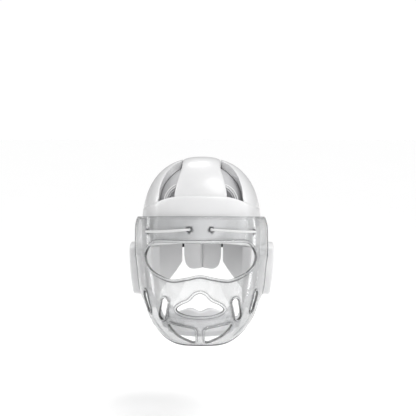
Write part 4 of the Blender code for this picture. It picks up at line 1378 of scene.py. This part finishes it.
def mask_border(flat):
    """The mask's own edge on the laid-out sheet, as an even loop."""
    foot = len(MASK_SECTIONS) - 1 - 1e-6
    points = [flat.flat_of(turn, 0) for turn in np.linspace(-1, 1, 160)[:-1]]
    points += [flat.flat_of(1, row) for row in np.linspace(0, foot, 130)[:-1]]
    points += [flat.flat_of(turn, foot) for turn in np.linspace(1, -1, 60)[:-1]]
    points += [flat.flat_of(-1, row) for row in np.linspace(foot, 0, 130)[:-1]]
    return spaced(points, BORDER_RIM[2])


def on_sheet(places, border, loops, edge=0.0, share=0.0, extra=0.0):
    """Which places are on the sheet, `edge` from its border and width * share + extra from each opening."""
    far, kept = loop_distance(places, border)
    kept &= far > edge
    for loop, width, _ in loops:
        far, within = loop_distance(places, loop)
        kept &= ~within & (far > width * share + extra)
    return kept


def triangulate(border, loops):
    """Corners and triangles of the laid-out sheet, with rows of corners along every rim."""
    corners = []
    edges = []
    for points in [border] + [loop for loop, _, _ in loops]:
        start = len(corners)
        corners += points
        edges += [(start + k, start + (k + 1) % len(points)) for k in range(len(points))]
    rows = []
    for step in BORDER_ROWS:
        rows += offset_loop(border, -step)
    for loop, width, _ in loops:
        for share in RIM_ROWS:
            rows += offset_loop(loop, width * share)
    rows = np.array([tuple(point) for point in rows])
    across = np.arange(min(point.x for point in border), max(point.x for point in border), SHEET_PITCH)
    down = np.arange(min(point.y for point in border), max(point.y for point in border), SHEET_PITCH)
    grid = np.array([(x + (j % 2) * SHEET_PITCH / 2, y) for j, y in enumerate(down) for x in across])
    corners += [Vector(place) for place in rows[on_sheet(rows, border, loops, 0.0003, 0.06)]]
    kept = on_sheet(grid, border, loops, BORDER_RIM[0] + 0.0016, 1.2, 0.0014)
    corners += [Vector(place) for place in grid[kept]]
    flats, _, faces, _, _, _ = geometry.delaunay_2d_cdt(corners, edges, [], 0, 0.00012)
    flats = np.array([tuple(point) for point in flats])
    centres = np.array([flats[list(face)].mean(axis=0) for face in faces])
    return flats, [face for face, kept in zip(faces, on_sheet(centres, border, loops)) if kept]


def rim_marks(flats, border, loops):
    """Rise of the rims over the sheet at each corner, and how dark the rims' two painted shade lines are
    there.
    """
    width, rise, _ = BORDER_RIM
    far, _ = loop_distance(flats, border)
    height = rise * rim_profile(far, width)
    line = np.exp(-(far / BORDER_LINE) ** 2) + 0.35 * np.exp(-((far - width * 0.9) / RIM_LINE) ** 2)
    for loop, width, rise in loops:
        far, _ = loop_distance(flats, loop)
        height = np.maximum(height, rise * rim_profile(far, width))
        foot = np.exp(-((far - width) / RIM_FOOT_LINE) ** 2)
        line = np.maximum(line, np.exp(-(far / RIM_LINE) ** 2) + foot)
    return height, line


def jaw_share(row, x):
    """How much painted reflection streaks and darkens the sheet: most on the cheeks and jaw, little in the
    middle.
    """
    first_row = 4.5
    rows = 5
    middle = 0.035
    middle_share = 0.15
    return smooth_step((row - first_row) / rows) * blend(
        middle_share, 1.0, smooth_step((abs(x) - middle) / middle))


def make_mask():
    """The sheet's triangles, put on the mask's surface twice and closed along every edge."""
    flat = FlatMask()
    loops = mask_loops(flat)
    border = mask_border(flat)
    flats, faces = triangulate(border, loops)
    height, line = rim_marks(flats, border, loops)

    bm = bmesh.new()
    rim = bm.verts.layers.float.new("rim")
    jaw_reflection = bm.verts.layers.float.new("jaw_reflection")
    outer = {}
    inner = {}
    for index in sorted({corner for face in faces for corner in face}):
        turn, row = flat.solid_of(flats[index])
        point = mask_point(turn, row)
        normal = mask_normal(turn, row)
        outer[index] = bm.verts.new(point + normal * float(height[index]))
        inner[index] = bm.verts.new(point - normal * MASK_WALL)
        # painted shade lines of the rims, fainter on the inner face
        outer[index][rim] = float(min(line[index], 1))
        inner[index][rim] = float(min(line[index] * 0.5, 1))
        outer[index][jaw_reflection] = jaw_share(row, point.x)
        inner[index][jaw_reflection] = jaw_share(row, point.x)
    sides = [pair for face in faces for pair in zip(face, face[1:] + face[:1])]
    shared = {(high, low) for low, high in sides}
    for face in faces:
        bm.faces.new([outer[index] for index in face])
        bm.faces.new([inner[index] for index in reversed(face)])
    for low, high in sides:
        if (low, high) not in shared:
            bm.faces.new((outer[high], outer[low], inner[low], inner[high]))
    mask = piece_of("moulded_face_mask", bm)
    bevel(mask, HARD_ROUND, 2, 60)
    shade(mask, 50)
    finish(mask, CLEAR, ("face_mask",), edges=False)


# Lacing and studs
def make_lacing():
    """Cords from bore to bore over the mask, with both ends sunk into the band."""
    lift = BRAID_R + 0.0006
    steps = 26
    for side, tag in SIDES:
        (inner, inner_way), (outer, outer_way) = lace_spots(side)
        inner_end = inner_way * ((inner - band_face(inner, inner_way)).length + BORE_DEPTH - 2 * GAP)
        outer_end = outer_way * ((outer - band_face(outer, outer_way)).length + BORE_DEPTH - 2 * GAP)
        points = [inner - inner_end * share for share in (1.0, 0.7, 0.4, 0.15)]
        points.append(inner + inner_way * lift * 0.65)
        for step in range(1, steps):
            x = side * blend(LACE_INNER_X, LACE_OUTER_X, step / steps)
            point, normal = mask_at(x, -blend(LACE_INNER_DROP, LACE_OUTER_DROP, step / steps))
            points.append(point + normal * lift)
        points.append(outer + outer_way * lift * 0.65)
        points += [outer - outer_end * share for share in (0.15, 0.4, 0.7, 1.0)]
        last = len(points) - 1
        route = [points[0]]
        for index in range(last):
            near = [points[min(max(index + shift, 0), last)] for shift in (-1, 0, 1, 2)]
            route += [catmull(*near, step / 3) for step in (1, 2, 3)]
        cord = tube("lacing_elastic_" + tag, route, BRAID_R, 14)
        finish(cord, WHITE_BRAID, ("lacing_cord_" + tag,), edges=False)


def make_studs():
    """Turned studs: a half section, spun round the sideways axis."""
    mask_x = stud_mask_x()
    base = form_side(STUD_Y + STUD_FLANGE_R, flap_out(-STUD_DROP)) + GAP
    inner = mask_x - MASK_WALL - STUD_SLACK
    outer = mask_x + STUD_SLACK
    profile = (
        (0.0, outer + STUD_FLANGE_WALL), (STUD_FLANGE_R * 0.72, outer + STUD_FLANGE_WALL),
        (STUD_FLANGE_R, outer + STUD_FLANGE_WALL * 0.45), (STUD_FLANGE_R, outer), (STUD_SHANK_R, outer),
        (STUD_SHANK_R, inner), (STUD_SHOULDER_R, inner), (STUD_SHOULDER_R, base + STUD_FLANGE_WALL),
        (STUD_FLANGE_R, base + STUD_FLANGE_WALL), (STUD_FLANGE_R, base), (0.0, base),
    )
    for side, tag in SIDES:
        deselect()
        bpy.ops.mesh.primitive_circle_add(vertices=3, radius=0.001)
        stud = named("side_stud_" + tag)
        bm = bmesh.new()
        line = [bm.verts.new((height, radius, 0)) for radius, height in profile]
        for low, high in zip(line, line[1:]):
            bm.edges.new((low, high))
        bm.to_mesh(stud.data)
        bm.free()
        bpy.ops.object.mode_set(mode="EDIT")
        bpy.ops.mesh.select_all(action="SELECT")
        bpy.ops.mesh.spin(steps=32, angle=2 * math.pi, center=(0, 0, 0), axis=(1, 0, 0))
        bpy.ops.mesh.select_all(action="SELECT")
        bpy.ops.mesh.remove_doubles(threshold=0.00003)
        bpy.ops.object.mode_set(mode="OBJECT")
        for vertex in stud.data.vertices:
            vertex.co = Vector((side * vertex.co.x, vertex.co.y + STUD_Y, vertex.co.z - STUD_DROP))
        face_outwards(stud)
        bevel(stud, HARD_ROUND, 2, 40)
        shade(stud, 40)
        finish(stud, STUD_PLASTIC, ("mask_stud_" + tag,), edges=False)


make_liner()
make_vents()
make_band()
make_crown_strip()
make_side_pads()
make_flaps()
make_guards()
make_nape_pad()
make_chin_cup()
make_back_strap()
make_chin_strap()
make_mask()
make_lacing()
make_studs()


# Floor, lights and camera
def make_stage():
    """Pale floor, which sends back less light than it shows to the camera."""
    deselect()
    bpy.ops.mesh.primitive_plane_add(size=60, location=(0, 0, FLOOR_LEVEL))
    floor = named("floor")
    bpy.ops.object.transform_apply(location=True, rotation=False, scale=False)
    made, nodes, shader = new_material("Pale floor", {
        "Roughness": 0.9, "Specular IOR Level": 0.1,
        "Emission Color": (1, 1, 1, 1), "Emission Strength": 0.05})
    cloud = nodes.noise(nodes.place(), 3)
    tone = nodes.mix(cloud, (0.95, 0.95, 0.95, 1), (0.97, 0.97, 0.97, 1))
    seen = nodes.add("ShaderNodeLightPath").outputs["Is Camera Ray"]
    tone = nodes.mix(seen, (0.84, 0.84, 0.84, 1), tone)
    made.node_tree.links.new(tone, shader.inputs["Base Color"])
    floor.data.materials.append(made)


def add_light(name, kind, settings, place, way):
    data = bpy.data.lights.new(name, kind)
    for key, value in settings.items():
        setattr(data, key, value)
    lamp = bpy.data.objects.new(name, data)
    lamp.location = place
    lamp.rotation_euler = Vector(way).to_track_quat("-Z", "Y").to_euler()
    bpy.context.scene.collection.objects.link(lamp)


def make_lights():
    """Even white surroundings, brighter overhead, a broad sun from the upper right and small softboxes."""
    world = bpy.data.worlds.new("Pale studio")
    world.use_nodes = True
    nodes = Nodes(world.node_tree)
    shader = world.node_tree.nodes["Background"]
    shader.inputs["Color"].default_value = (1, 1, 1, 1)
    way = nodes.add("ShaderNodeTexCoord").outputs["Generated"]
    glow = nodes.add("ShaderNodeVectorMath", {1: DOME_WAY}, {0: way}, operation="DOT_PRODUCT")
    glow = nodes.math("MAXIMUM", glow.outputs["Value"], 0.0)
    glow = nodes.math("MULTIPLY_ADD", glow, DOME_GLOW, AMBIENT)
    seen = nodes.add("ShaderNodeLightPath").outputs["Is Camera Ray"]
    strength = nodes.math("MAXIMUM", nodes.math("MULTIPLY", seen, SEEN_WORLD), glow)
    world.node_tree.links.new(strength, shader.inputs["Strength"])
    bpy.context.scene.world = world
    add_light("broad_sun", "SUN", {"energy": SUN_POWER, "angle": math.radians(SUN_WIDTH)}, (0, 0, 0), SUN_WAY)
    for name, width, height, power, place, target in AREA_LIGHTS:
        settings = {"shape": "RECTANGLE", "size": width, "size_y": height, "energy": power}
        add_light(name, "AREA", settings, place, Vector(target) - Vector(place))


def make_camera():
    """Camera placed so that the target shows at the wanted pixel of the square frame."""
    target = Vector((0, 0, -0.1365))
    target_pixel_x = 201.7
    target_pixel_y = 251.0
    frame_side = 416
    focal = 895.0
    distance = 1.5
    elevation = math.radians(8)
    turned = Matrix.Rotation(math.radians(1.0), 3, "Z")
    back = turned @ Vector((0, -math.cos(elevation), math.sin(elevation)))
    right = turned @ Vector((1, 0, 0))
    up = turned @ Vector((0, math.sin(elevation), math.cos(elevation)))
    shift_x = (target_pixel_x - frame_side / 2) / focal
    shift_y = (frame_side / 2 - target_pixel_y) / focal
    turn = (right * shift_x + up * shift_y - back).normalized().rotation_difference(-back).to_matrix()
    data = bpy.data.cameras.new("camera")
    data.angle = 2 * math.atan(frame_side / 2 / focal)
    data.clip_start = 0.05
    camera = bpy.data.objects.new("camera", data)
    rows = Matrix((turn @ right, turn @ up, turn @ back)).transposed().to_4x4()
    camera.matrix_world = Matrix.Translation(target + back * distance) @ rows
    bpy.context.scene.collection.objects.link(camera)
    bpy.context.scene.camera = camera


make_stage()
make_lights()
make_camera()
bpy.context.scene.view_settings.view_transform = "Standard"
